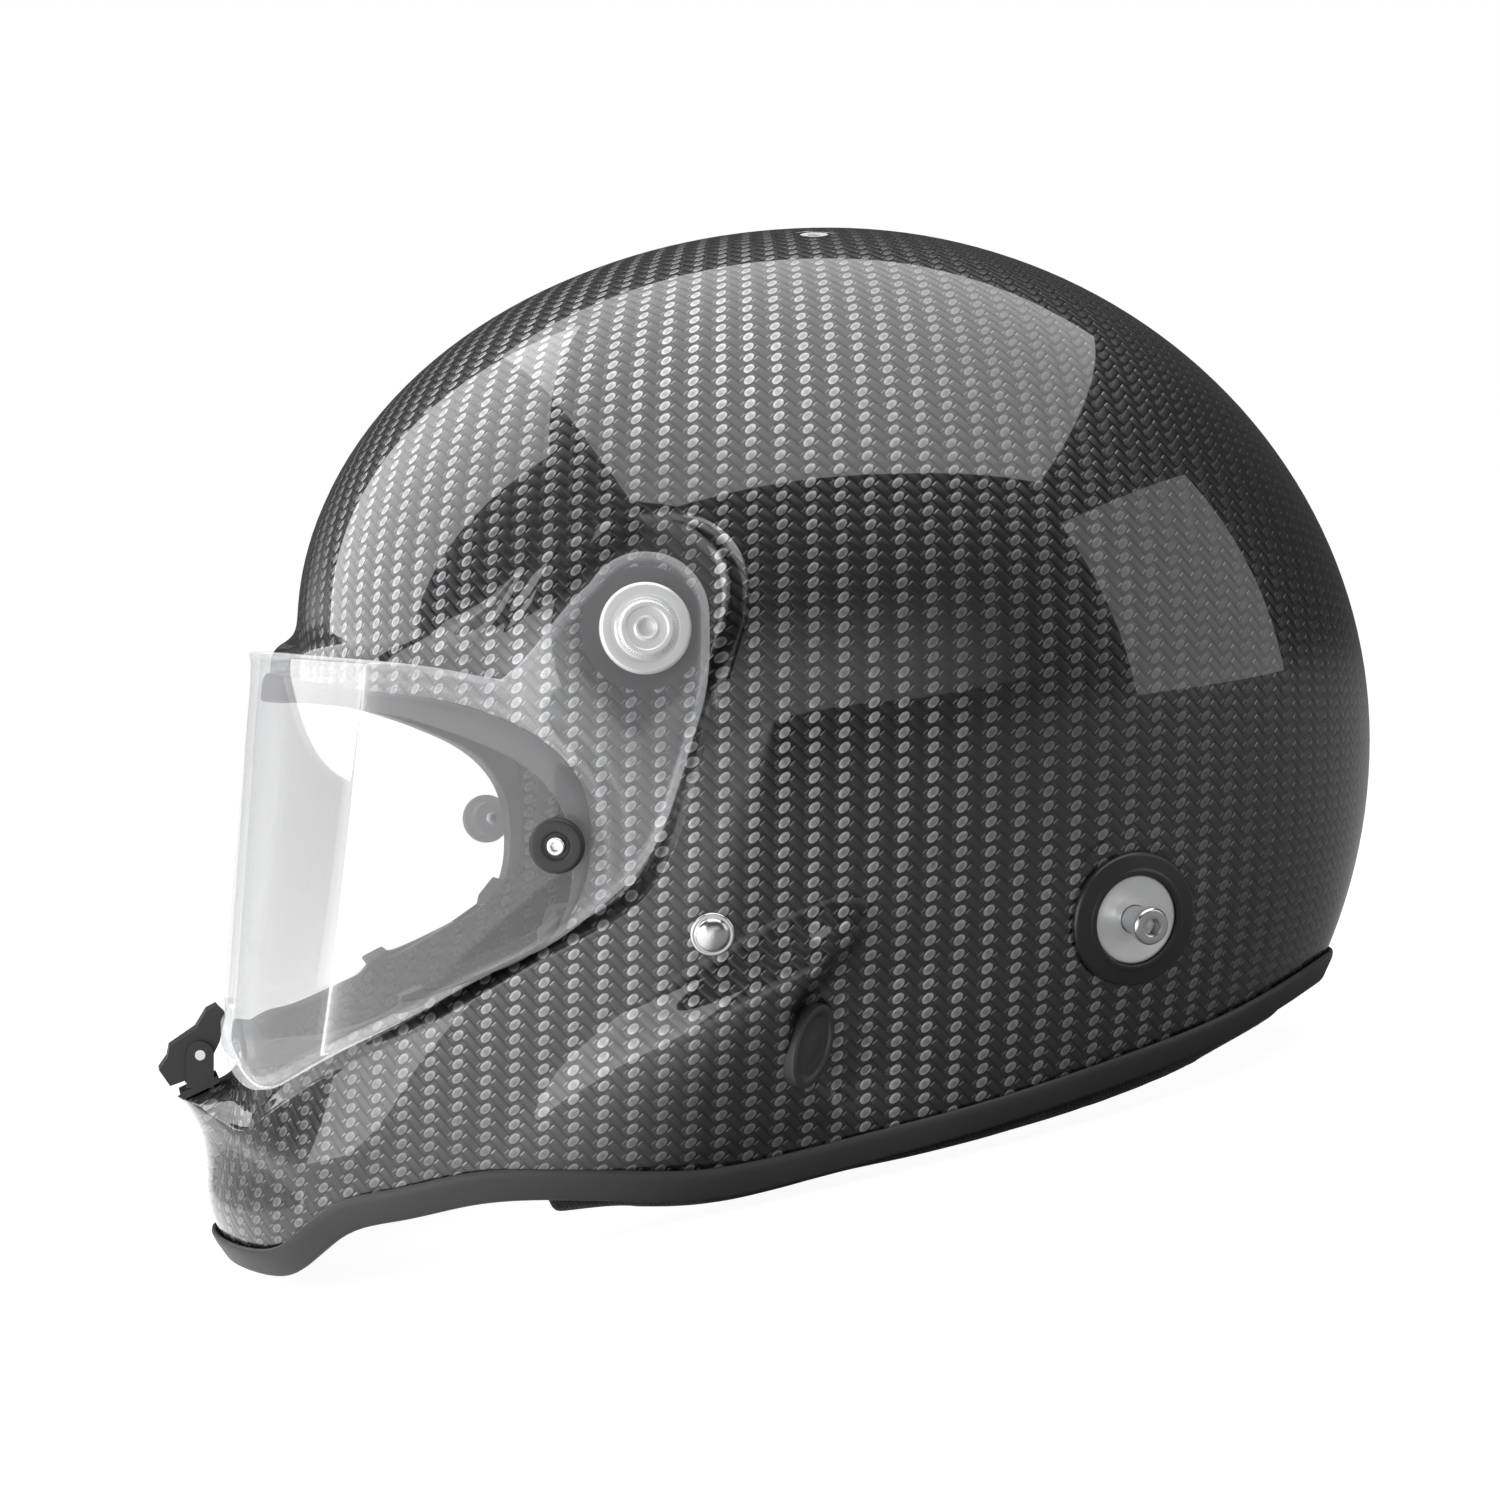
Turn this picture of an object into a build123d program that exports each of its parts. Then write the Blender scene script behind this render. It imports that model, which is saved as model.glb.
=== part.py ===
from build123d import *
import os
from math import atan2, cos, degrees, exp, pi, sin, sqrt

# Auto racing helmet, full face, with a hinged clear visor.
# The worn attitude is modelled first: X runs from the front to the rear, Y to the wearer's right
# and Z up, with the datum on the mid-plane near the wearer's ear.

# Shell envelope
half_width = 125.0
crown_top = 155.3
crown_x = 24.0
brow_x = -134.4
brow_z = 36.0
rear_x = 184.8
rear_z = 2.6
taper_share = 0.20
chin_slope = 17.6
lip_tuck = 7.5
shell_wall = 2.6

# The side view is drawn in shares of the shell's reach to the front and its rise
reach_share = 1.190476
rise_share = 0.965873
reach = -brow_x * reach_share
rise = crown_top * rise_share
rear_drop_share = 1.053333
wide_share = 0.066667
taper_run_share = 0.933333
chin_run_share = 0.806667
lip_share = -0.84
lip_run_share = 0.12
rear_drop = rise * rear_drop_share
wide_z = rise * wide_share
taper_run = rise * taper_run_share
chin_run = rise * chin_run_share
lip_z = rise * lip_share
lip_run = rise * lip_run_share

# How square the shell is in its cross section, low down and over the crown
dome_power = 2.15
side_power = 2.1
front_power = 0.45
rear_power = 0.15
chin_power = 1.2
visor_power = 2.65

# Nose of the chin bar
nose_reach = 15.5
nose_half = 42.0
nose_fall = 13.0
nose_share = -0.673333
nose_low_share = -0.582
nose_z = rise * nose_share
nose_low = rise * nose_low_share

# Visor
visor_wall = 3.0
visor_brow_shares = (-0.924375, 0.194667)
visor_lean = 9.5
visor_drop_share = 0.716667
visor_inset = 3.5
floor_gap = 3.0
visor_level_shares = (-0.68, 0.44)
visor_sections = 16
visor_rear_share = -0.075
visor_notch_half = 13.0
visor_notch_share = -0.486667
lug_radius = 21.5
lug_blend = 22.0
lug_sink = 8.0
lug_rise = 3.7
lug_end = 17.2
lug_front_shares = (0.87, 0.5)
visor_brow_x = reach * visor_brow_shares[0]
visor_brow_z = rise * visor_brow_shares[1]
visor_drop = rise * visor_drop_share
visor_low = rise * visor_level_shares[0]
visor_high = rise * visor_level_shares[1]
visor_rear = reach * visor_rear_share
visor_notch_z = rise * visor_notch_share
lug_face = half_width - lug_sink

# Visor pivots
pivot_shares = (-0.28375, 0.235333)
pivot_x = reach * pivot_shares[0]
pivot_z = rise * pivot_shares[1]
washer_radius = 17.0
washer_thick = 1.0
lug_gap = 0.3
lug_thick = 3.0
bush_radius = 8.0
bush_fit = 0.2
flange_radius = 12.6
flange_thick = 2.6
button_radius = 7.6
button_thick = 2.4
button_recess = 2.5
insert_radius = 12.0
insert_length = 8.0
stem_radius = 4.9
visor_open = 50.0

# Edge trim, eyeport gasket and neck roll, measured across the rim
trim_depth = 6.5
trim_over = 2.2
trim_under = 3.0
trim_fit = 0.3
gasket_depth = 5.0
gasket_over = 2.0
gasket_lip = 3.6
roll_gap = 0.7
roll_thick = 22.0
roll_height = 12.0
roll_drop_rear = 25.0
roll_drop_side = 12.0
roll_end_share = 0.76
roll_drop_rate_share = 1.6
roll_taper_start_share = 0.85
roll_taper_rate_share = 3.0
roll_shares = (1.0, 0.4, 0.15, 0.6, 0.93, 0.5, 0.8, 0.7, 0.6, 0.75)

# Liner and pads
liner_gap = 0.5
liner_ease = 3.6
liner_thick = 28.0
pad_gap = 0.8
pad_thick = 9.0
cheek_thick = 36.0
hub_share = -0.366667
hub_x = crown_x
hub_z = rise * hub_share
foam_gap = 1.0
foam_thick = 18.0
foam_run = 34.0
foam_height = 20.0

# The liner and pads fan about the hub: turns in degrees from the rear, and shares up from the side
liner_turns = (148.0, 6.0)
liner_sections = 14
liner_side_shares = (0.10, 0.56)
liner_top_shares = (0.566, 1.0)
crown_turns = (122.0, 62.0)
crown_pad_shares = (0.62, 1.0)
brow_turns = (145.0, 126.0)
brow_pad_shares = (0.45, 1.0)
nape_turns = (52.0, 12.0)
nape_pad_shares = (0.5, 1.0)
side_turns = (122.0, 56.0)
side_pad_shares = (0.2, 0.55)

# Head restraint anchors
anchor_shares = (0.57125, -0.3)
anchor_x = reach * anchor_shares[0]
anchor_z = rise * anchor_shares[1]
anchor_radius = 19.0
anchor_step = 3.2
anchor_step_shares = (0.6, 0.82, 0.4)
anchor_seat = 2.0
seat_gap = 0.1
dish_radius = 12.7
dish_thick = 3.2
post_radius = 5.25
post_neck = 3.9
bolt_fit = 0.15
post_reach = 11.5
post_socket = 2.6
post_socket_depth = 3.5
nut_radius = 9.0
nut_thick = 4.0
nut_depth = 8.0
post_head = 3.0

# Small fittings
rivet_shares = (-0.16875, -0.320667)
rivet_x = reach * rivet_shares[0]
rivet_z = rise * rivet_shares[1]
rivet_rise_shares = (0.2, 0.45)
rivet_dome = 4.6
rivet_ring = 6.0
rivet_shank = 2.4
rivet_grip = 6.0
tear_shares = (-0.42625, -0.157333)
tear_x = reach * tear_shares[0]
tear_z = rise * tear_shares[1]
tear_radius = 7.7
tear_neck = 5.4
tear_reach = 6.0
tear_screw = 2.2
tear_shank = 1.6
tear_nut = 1.5
port_shares = (0.021875, -0.523333)
port_x = reach * port_shares[0]
port_z = rise * port_shares[1]
port_half_length = 11.6
port_half_width = 5.2
port_tilt = 25.0
port_reach = 2.4
port_seat = 2.0
peak_shares = (0.0875, 0.272)
peak_x = reach * peak_shares[0]
peak_y = half_width * peak_shares[1]
peak_radius = 4.2
peak_bore = 2.0
peak_depth = 6.0
peak_sink = 0.3

# Latch at the chin
latch_pin_shares = (-1.021875, -0.59)
latch_pin_x = reach * latch_pin_shares[0]
latch_pin_z = rise * latch_pin_shares[1]
latch_half = 8.0
latch_pin_radius = 1.5
latch_fit = 0.25
latch_ear = 2.2
latch_ear_radius = 4.0
latch_drop = 9.6
ledge_turn = 25.0
latch_plate = 2.0

# Chin strap
strap_width = 22.0
strap_thick = 2.0
strap_share = -0.15625
strap_x = reach * strap_share
strap_head = 5.0
strap_inset = 6.2
strap_slack = 3.2
strap_end = 12.6
ring_wire = 2.2
ring_open = 6.0
ring_y = 7.0
ring_share = -0.805
strap_drop_shares = (-0.45, -0.585)
strap_under_shares = ((0.57, -0.64), (0.44, -0.672), (0.3, -0.74))
strap_end_share = -0.8

# Rest of the helmet on a table
knee_rest_shares = (-0.10625, -0.873333)
rear_rest_shares = (1.00625, -0.6)

overrun = 40.0
probe = 0.6

# Side outlines as shares of the reach and the rise, from the brow round to the chin
crest_shares = [
    (-0.75, 0.223), (-0.637, 0.227), (-0.537, 0.28), (-0.469, 0.373), (-0.409, 0.453),
    (-0.312, 0.466), (-0.2, 0.446), (-0.130, 0.392), (-0.108, 0.31), (-0.128, 0.21),
    (-0.159, 0.107), (-0.194, -0.02), (-0.234, -0.16), (-0.284, -0.253), (-0.375, -0.323),
    (-0.525, -0.417), (-0.687, -0.523), (-0.85, -0.623), (-0.916, -0.687), (-0.946, -0.712),
]
floor_shares = [
    (-0.762, 0.197), (-0.65, 0.2), (-0.53, 0.252), (-0.452, 0.343), (-0.39, 0.425),
    (-0.312, 0.44), (-0.207, 0.423), (-0.15, 0.378), (-0.128, 0.305), (-0.145, 0.205),
    (-0.174, 0.103), (-0.209, -0.024), (-0.248, -0.153), (-0.294, -0.242), (-0.382, -0.31),
    (-0.532, -0.403), (-0.695, -0.51), (-0.856, -0.603), (-0.914, -0.65), (-0.941, -0.66),
]
port_edge_shares = [
    (-0.762, 0.103), (-0.65, 0.083), (-0.538, 0.043), (-0.456, -0.007), (-0.406, -0.073),
    (-0.388, -0.16), (-0.4, -0.267), (-0.438, -0.333), (-0.512, -0.383), (-0.644, -0.447),
    (-0.794, -0.52), (-0.888, -0.56), (-0.938, -0.567),
]
neck_shares = [
    (1.0, -0.433), (0.938, -0.453), (0.825, -0.5), (0.704, -0.547), (0.542, -0.6),
    (0.353, -0.66), (0.084, -0.737), (-0.074, -0.78), (-0.178, -0.799), (-0.28, -0.8),
    (-0.416, -0.797), (-0.567, -0.81), (-0.684, -0.843), (-0.775, -0.873), (-0.831, -0.927),
    (-0.875, -0.967), (-0.925, -0.973),
]
port_brow_share = 0.12
port_chin_share = -0.553
floor_brow_share = 0.2
floor_chin_share = -0.63
crest_brow_share = 0.227
neck_rear_share = -0.428
neck_chin_share = -0.967
station_shares = [
    0.0, 0.012, 0.04, 0.08, 0.125, 0.165, 0.2, 0.23, 0.265, 0.305, 0.34, 0.37, 0.395, 0.425,
    0.465, 0.515, 0.565, 0.61, 0.65, 0.69, 0.745, 0.81, 0.875, 0.925, 0.96, 0.987, 1.0,
]
row_shares = [0.0, 0.05, 0.13, 0.24, 0.37, 0.5, 0.63, 0.76, 0.87, 0.95, 1.0]
visor_shares = [
    (-0.98, 0.196), (-0.85, 0.187), (-0.758, 0.178), (-0.64, 0.163), (-0.56, 0.147),
    (-0.525, 0.141), (-0.5, 0.165), (-0.44, 0.245), (-0.395, 0.3),
]
visor_rear_shares = [
    (-0.186, 0.1), (-0.21, 0.02), (-0.253, -0.12), (-0.303, -0.213), (-0.362, -0.272),
    (-0.437, -0.335), (-0.562, -0.405), (-0.69, -0.485), (-0.822, -0.565), (-0.888, -0.613),
    (-0.938, -0.635), (-0.966, -0.612), (-0.984, -0.54), (-0.99, -0.47),
]
temple_shares = [
    (-1.3, 0.3), (-0.637, 0.3), (-0.56, 0.36), (-0.46, 0.5), (-0.4, 0.52), (-0.2, 0.51),
    (-0.08, 0.44), (-0.05, 0.31), (-0.1, 0.0), (-0.19, -0.24), (-0.27, -0.32), (-0.5, -0.46), (-1.3, -0.8),
]
temple_sections = 10
floor_row_shares = (0.0, 0.3, 0.6, 0.85, 1.0)
band_shares = (0.0, 0.14, 0.3, 0.47, 0.63, 0.76, 0.86, 0.93, 0.975, 1.0)
crown_fade_share = 0.65
crown_fade_power = 1.4
cheek_level_shares = [
    (-0.575, -0.31, -0.08), (-0.52, -0.38, -0.03), (-0.45, -0.37, -0.02), (-0.33, -0.34, -0.04),
]
cheek_bulge_share = 0.35
latch_shares = [
    (-0.991, -0.495), (-0.975, -0.513), (-0.986, -0.566), (-1.003, -0.603), (-1.046, -0.64),
    (-1.076, -0.651), (-1.096, -0.62), (-1.081, -0.597), (-1.077, -0.575), (-1.029, -0.54),
    (-1.009, -0.505),
]


def power_dome(share, power):
    """Height left on a dome of unit size at this share of its run."""
    return max(0.0, 1.0 - abs(share) ** power) ** (1.0 / power)


def shell_front(z, inset=0.0):
    """Mid-plane front of the shell at a height, with the chin bar below the brow."""
    if z > brow_z:
        rise_share = (z - brow_z) / (crown_top - brow_z - inset)
        return crown_x - (crown_x - brow_x - inset) * sqrt(max(0.0, 1.0 - rise_share ** 2))
    x = brow_x + inset - chin_slope * ((brow_z - z) / chin_run) ** chin_power
    if z < lip_z:
        x += lip_tuck * ((lip_z - z) / lip_run) ** 2
    return x


def shell_rear(z, inset=0.0):
    """Mid-plane rear of the shell at a height."""
    run = crown_top - rear_z if z > rear_z else rear_drop
    share = (z - rear_z) / (run - inset)
    return crown_x + (rear_x - crown_x - inset) * sqrt(max(0.0, 1.0 - share ** 2))


def shell_breadth(z, inset=0.0):
    """Half breadth of the shell at a height."""
    if z > wide_z:
        return (half_width - inset) * power_dome((z - wide_z) / (crown_top - inset - wide_z), dome_power)
    return (half_width - inset) * (1.0 - taper_share * ((wide_z - z) / taper_run) ** 2)


def shell_side(x, z, inset=0.0):
    """Half width of the shell's outer face at a side-view place."""
    lift = max(0.0, z / crown_top)
    front = x < crown_x
    run = crown_x - shell_front(z, inset) if front else shell_rear(z, inset) - crown_x
    if run <= probe:
        return 0.0
    power = side_power + (front_power if front else rear_power) * max(0.0, 1.0 - lift ** 2)
    return shell_breadth(z, inset) * power_dome((x - crown_x) / run, power)


def visor_front(z, inset=0.0):
    """Mid-plane front of the visor at a height."""
    drop = (visor_brow_z - z) / visor_drop
    return visor_brow_x + inset - visor_lean * drop


def visor_side(x, z, inset=0.0):
    """Half width of the visor's outer face, flattened round the pivots into the lugs."""
    run = crown_x - visor_front(z, inset)
    breadth = shell_breadth(z) - visor_inset - inset
    side = breadth * power_dome((x - crown_x) / run, visor_power)
    spread = sqrt((x - pivot_x) ** 2 + (z - pivot_z) ** 2)
    blend = min(1.0, max(0.0, (spread - lug_radius) / lug_blend))
    ease = blend * blend * (3.0 - 2.0 * blend)
    return side * ease + (lug_face - inset) * (1.0 - ease)


def placed(shares):
    """Side-view places from shares of the reach and the rise."""
    return [Vector(a * reach, 0.0, b * rise) for a, b in shares]


def side_curve(start, shares, end):
    """Side-view curve from one mid-plane place to another."""
    return Spline(start, *placed(shares), end)


floor_inset = visor_wall + floor_gap
crest_start = Vector(shell_front(crest_brow_share * rise), 0.0, crest_brow_share * rise)
crest_end = Vector(shell_front(nose_z), 0.0, nose_z)
crest_curve = side_curve(crest_start, crest_shares, crest_end)
floor_top = floor_brow_share * rise
floor_low = floor_chin_share * rise
floor_curve = side_curve(
    Vector(visor_front(floor_top, floor_inset), 0.0, floor_top),
    floor_shares,
    Vector(visor_front(floor_low, floor_inset), 0.0, floor_low),
)
port_top = port_brow_share * rise
port_low = port_chin_share * rise
port_curve = side_curve(
    Vector(visor_front(port_top, floor_inset), 0.0, port_top),
    port_edge_shares,
    Vector(visor_front(port_low, floor_inset), 0.0, port_low),
)
neck_rear = neck_rear_share * rise
neck_chin = neck_chin_share * rise
neck_curve = side_curve(
    Vector(shell_rear(neck_rear), 0.0, neck_rear),
    neck_shares,
    Vector(shell_front(neck_chin), 0.0, neck_chin),
)


def crown_line():
    """Mid-plane line over the crown, from the brow to the rear rim."""
    points = [crest_start]
    quarter_steps = 6
    for step in range(1, quarter_steps + 1):
        turn = pi / 2 * step / quarter_steps
        points.append(Vector(
            crown_x - (crown_x - brow_x) * cos(turn), 0.0, brow_z + (crown_top - brow_z) * sin(turn)
        ))
    for step in range(1, quarter_steps + 1):
        turn = pi / 2 * (1.0 - step / quarter_steps)
        points.append(Vector(
            crown_x + (rear_x - crown_x) * cos(turn), 0.0, rear_z + (crown_top - rear_z) * sin(turn)
        ))
    for step in (1, 2):
        z = rear_z + (neck_rear - rear_z) * step / 2
        points.append(Vector(shell_rear(z), 0.0, z))
    return Spline(*points)


crown_curve = crown_line()


def shell_place(station, row):
    """Side-view place on the shell, from the crest (row 0) to the neck rim (row 1)."""
    crest = crest_curve.position_at(station)
    neck = neck_curve.position_at(station)
    crown_bulge = crown_curve.position_at(row) - crest_start * (1 - row) - neck_curve.position_at(0) * row
    z = crest_end.Z + (neck_chin - crest_end.Z) * row
    chin_bulge = Vector(shell_front(z), 0.0, z) - crest_end * (1 - row) - neck_curve.position_at(1) * row
    crown_weight = max(0.0, 1.0 - station / crown_fade_share) ** crown_fade_power
    return crest * (1 - row) + neck * row + crown_bulge * crown_weight + chin_bulge * station ** 3


def nose_push(point):
    """Forward push that draws the chin bar out into its nose, greatest along the crest."""
    across = max(0.0, 1.0 - (point.Y / nose_half) ** 2) ** 2
    fade = exp(-max(0.0, nose_z - point.Z) / nose_fall)
    return nose_reach * across * fade if point.Z < nose_low else 0.0


def shell_row(row):
    """Half loop of shell points at one row, on the left side."""
    points = []
    for station in station_shares:
        place = shell_place(station, row)
        y = 0.0 if station in (0.0, 1.0) else -shell_side(place.X, place.Z)
        point = Vector(place.X, y, place.Z)
        points.append(point - Vector(nose_push(point), 0.0, 0.0))
    return points


def floor_row(inner, outer, mix):
    """Half loop of points on the recessed floor behind the visor."""
    points = []
    for station in station_shares:
        place = inner.position_at(station) * (1 - mix) + outer.position_at(station) * mix
        y = 0.0 if station in (0.0, 1.0) else -visor_side(place.X, place.Z, floor_inset)
        x = visor_front(place.Z, floor_inset) if y == 0.0 else place.X
        points.append(Vector(x, y, place.Z))
    return points


floor_rows = [floor_row(port_curve, floor_curve, mix) for mix in floor_row_shares]
shell_rows = [shell_row(row) for row in row_shares]


def normals(rows):
    """Outward normals of the surface through these rows."""
    directions = []
    for j, row in enumerate(rows):
        ahead = rows[min(j + 1, len(rows) - 1)]
        behind = rows[max(j - 1, 0)]
        line = []
        for i in range(len(row)):
            if i == 0 or i == len(row) - 1:
                neighbour = row[1] if i == 0 else row[-2]
                along = Vector(0.0, -neighbour.Y, 0.0) * (-1.0 if i == 0 else 1.0)
            else:
                along = row[i + 1] - row[i - 1]
            line.append(along.cross(ahead[i] - behind[i]).normalized())
        directions.append(line)
    return directions


def inward(rows, depth):
    """The same rows moved inward along the surface normal."""
    directions = normals(rows)
    return [[p - n * depth for p, n in zip(row, line)] for row, line in zip(rows, directions)]


def spacing(rows):
    """Shared spline parameters for loops through these rows."""
    total = [0.0]
    for i in range(len(rows[0]) - 1):
        step = sum((row[i + 1] - row[i]).length for row in rows) / len(rows)
        total.append(total[-1] + step)
    return [value / total[-1] for value in total]


def closed_loop(row, parameters):
    """Closed curve through a half loop and its mirror image, level across the mid-plane."""
    opposite = [Vector(p.X, -p.Y, p.Z) for p in reversed(row[1:-1])]
    halves = [value / 2 for value in parameters] + [1.0 - value / 2 for value in reversed(parameters[:-1])]
    near, far = halves[1], halves[2] - halves[1]
    level = Vector(0.0, row[1].Y / near, 0.0)
    arriving = (opposite[-1] - opposite[-2]) * (near / far) + (row[0] - opposite[-1]) * (far / near)
    return Wire([Edge.make_spline(
        row + opposite, tangents=[level, arriving * (1.0 / (near + far))], periodic=True,
        parameters=halves, scale=False,
    )])


def skin(rows, parameters, ruled=False):
    """Faces lofted through rows of points."""
    return Shell.make_loft([closed_loop(row, parameters) for row in rows], ruled).faces()


def closed_skin(groups, parameters):
    """Solid whose skin is lofted group by group, each group starting where the last one ended."""
    faces = []
    for rows, ruled in groups:
        faces += skin(rows, parameters, ruled)
    return Solid(Shell(faces))


def rim_band(edge_row, next_row, profile):
    """Band round a rim. The profile gives places past the edge and out from the surface."""
    facing = normals([next_row, edge_row])[1]
    if facing[0].dot(edge_row[0]) < 0.0:
        facing = [normal * -1.0 for normal in facing]
        profile = profile[::-1]
    rows = []
    for past, out in profile:
        row = []
        for edge, inner, normal in zip(edge_row, next_row, facing):
            down = (edge - inner).normalized()
            row.append(edge + down * past + normal * out)
        rows.append(row)
    pairs = [([rows[i], rows[(i + 1) % len(rows)]], True) for i in range(len(rows))]
    return closed_skin(pairs, loop_parameters)


def mirrored(solid):
    """The same piece on the wearer's other side."""
    return mirror(solid, Plane.XZ)


def side_frame(x, z, side, lift=0.0):
    """Plane on the left face of a side surface, with its Z pointing out."""
    slope_x = (side(x + probe, z) - side(x - probe, z)) / (2 * probe)
    slope_z = (side(x, z + probe) - side(x, z - probe)) / (2 * probe)
    normal = Vector(-slope_x, -1.0, -slope_z).normalized()
    origin = Vector(x, -side(x, z), z) + normal * lift
    return Plane(origin, x_dir=Vector(1.0, 0.0, 0.0), z_dir=normal)


def disc(radius, low, high, bore=0.0):
    """Disc or ring from one height to another."""
    body = Pos(0.0, 0.0, (low + high) / 2) * Cylinder(radius, high - low)
    if bore:
        body -= Pos(0.0, 0.0, (low + high) / 2) * Cylinder(bore, high - low + overrun)
    return body


def pivot_disc(radius, low, high, bore=0.0):
    """Disc or ring on the left visor pivot, between two distances from the mid-plane."""
    return Plane((pivot_x, 0.0, pivot_z), x_dir=(1, 0, 0), z_dir=(0, -1, 0)) * disc(radius, low, high, bore)


def front_band(outer, inner, levels, rear):
    """Curved sheet round the front between two insets, lofted through level sections."""
    sections = []
    for z in levels:
        ends = []
        curves = []
        for inset in (outer, inner):
            front = visor_front(z, inset)
            left = []
            for share in band_shares:
                x = rear + (front - rear) * share
                y = 0.0 if share == 1.0 else visor_side(x, z, inset)
                left.append(Vector(x, -y, z))
            points = left + [Vector(p.X, -p.Y, p.Z) for p in reversed(left[:-1])]
            curves.append(Edge.make_spline(points))
            ends.append((points[0], points[-1]))
        near = Edge.make_line(ends[0][0], ends[1][0])
        far = Edge.make_line(ends[0][1], ends[1][1])
        sections.append(Wire([curves[0], far, curves[1], near]))
    return Solid.make_loft(sections)


def fan(turns, steps, side_shares, outer, inner):
    """Hood of even wall between two insets, lofted through planes that fan about a cross axis."""
    front_turn, rear_turn = turns
    low_share, top_share = side_shares
    sections = []
    for step in range(steps + 1):
        turn = (front_turn + (rear_turn - front_turn) * step / steps) * pi / 180
        rays = []
        for inset in (outer, inner):
            low, high = 0.0, reach * 2
            for _ in range(40):
                middle = (low + high) / 2
                x, z = hub_x + middle * cos(turn), hub_z + middle * sin(turn)
                inside = shell_front(z, inset) < x < shell_rear(z, inset) and z < crown_top - inset
                low, high = (middle, high) if inside else (low, middle)
            line = []
            for j in range(9):
                share = low_share + (top_share - low_share) * j / 8
                out = low * sin(share * pi / 2)
                x, z = hub_x + out * cos(turn), hub_z + out * sin(turn)
                y = 0.0 if share == 1.0 else shell_side(x, z, inset)
                line.append(Vector(x, -y, z))
            if top_share == 1.0:
                line += [Vector(p.X, -p.Y, p.Z) for p in reversed(line[:-1])]
            rays.append(line)
        sections.append(Wire([
            Edge.make_spline(rays[0]),
            Edge.make_line(rays[0][-1], rays[1][-1]),
            Edge.make_spline(rays[1]),
            Edge.make_line(rays[0][0], rays[1][0]),
        ]))
    return Solid.make_loft(sections)


def outline_block(edges, half):
    """Block across the whole breadth inside a side-view outline."""
    return extrude(make_face(edges), amount=half, dir=(0, 1, 0), both=True)


parts = {}

# Shell of the helmet
all_rows = floor_rows + shell_rows
loop_parameters = spacing(all_rows)
inner_rows = inward(all_rows, shell_wall)
first = len(floor_rows)
shell_body = closed_skin(
    [
        (all_rows[:first], False),
        ([all_rows[first - 1], all_rows[first]], True),
        (all_rows[first:], False),
        ([all_rows[-1], inner_rows[-1]], True),
        (inner_rows[first:], False),
        ([inner_rows[first], inner_rows[first - 1]], True),
        (inner_rows[:first], False),
        ([inner_rows[0], all_rows[0]], True),
    ],
    loop_parameters,
)


def seated(piece, frame):
    """A piece cut to the shell's outer face and lifted off it by the seat gap."""
    return Pos(frame.z_dir * seat_gap) * (piece - shell_body)


lug_inner = lug_face - lug_thick
washer_top = lug_inner - lug_gap
insert_face = washer_top - washer_thick
flange_seat = lug_face + lug_gap
anchor_frame = side_frame(anchor_x, anchor_z, shell_side)
rivet_frame = side_frame(rivet_x, rivet_z, shell_side)
peak_z = crown_top
for _ in range(200):
    if shell_side(peak_x, peak_z) < peak_y:
        peak_z -= probe / 4
peak_frame = side_frame(peak_x, peak_z, shell_side)
holes = [
    pivot_disc(insert_radius, insert_face - insert_length, insert_face + overrun),
    anchor_frame * disc(post_neck + bolt_fit, -overrun / 2, overrun / 2),
    rivet_frame * disc(rivet_shank, -overrun / 2, overrun / 2),
    peak_frame * disc(peak_radius, -overrun / 2, overrun / 2),
]
holes += [mirrored(hole) for hole in holes]
for hole in holes:
    shell_body -= hole
parts["outer_shell"] = shell_body

# Rubber trim on the neck rim and the gasket round the eyeport
parts["shell_edge_trim"] = rim_band(all_rows[-1], all_rows[-2], [
    (-trim_depth, trim_fit), (-trim_depth, trim_over), (trim_under, trim_over),
    (trim_under, -shell_wall - trim_over), (-trim_depth, -shell_wall - trim_over),
    (-trim_depth, -shell_wall - trim_fit), (trim_fit, -shell_wall - trim_fit), (trim_fit, trim_fit),
])
parts["eyeport_gasket"] = rim_band(all_rows[0], all_rows[1], [
    (-gasket_depth, trim_fit), (-gasket_depth, gasket_over), (gasket_lip, gasket_over),
    (gasket_lip, -shell_wall - gasket_over), (-gasket_depth, -shell_wall - gasket_over),
    (-gasket_depth, -shell_wall - trim_fit), (trim_fit, -shell_wall - trim_fit), (trim_fit, trim_fit),
])

# Visor
visor_levels = [visor_low + (visor_high - visor_low) * i / visor_sections for i in range(visor_sections + 1)]
visor_sheet = front_band(0.0, visor_wall, visor_levels, visor_rear)
lug_top = Vector(pivot_x, 0.0, pivot_z + lug_rise + lug_end)
lug_front = Vector(
    pivot_x - lug_end * lug_front_shares[0], 0.0, pivot_z + lug_rise + lug_end * lug_front_shares[1])
lug_back = Vector(pivot_x + lug_end, 0.0, pivot_z + lug_rise)
visor_start = Vector(visor_brow_x - overrun / 2, 0.0, visor_brow_z)
visor_stop = Vector(visor_brow_x - overrun / 2, 0.0, visor_rear_shares[-1][1] * rise)
visor_outline = [
    Polyline(visor_stop, visor_start, placed(visor_shares)[0]),
    Spline(*placed(visor_shares[:6])),
    Spline(*placed(visor_shares[5:]), lug_front),
    ThreePointArc(lug_front, lug_top, lug_back),
    Spline(lug_back, *placed(visor_rear_shares)),
    Line(placed(visor_rear_shares)[-1], visor_stop),
]
visor = visor_sheet & outline_block(visor_outline, half_width * 2)
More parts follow.
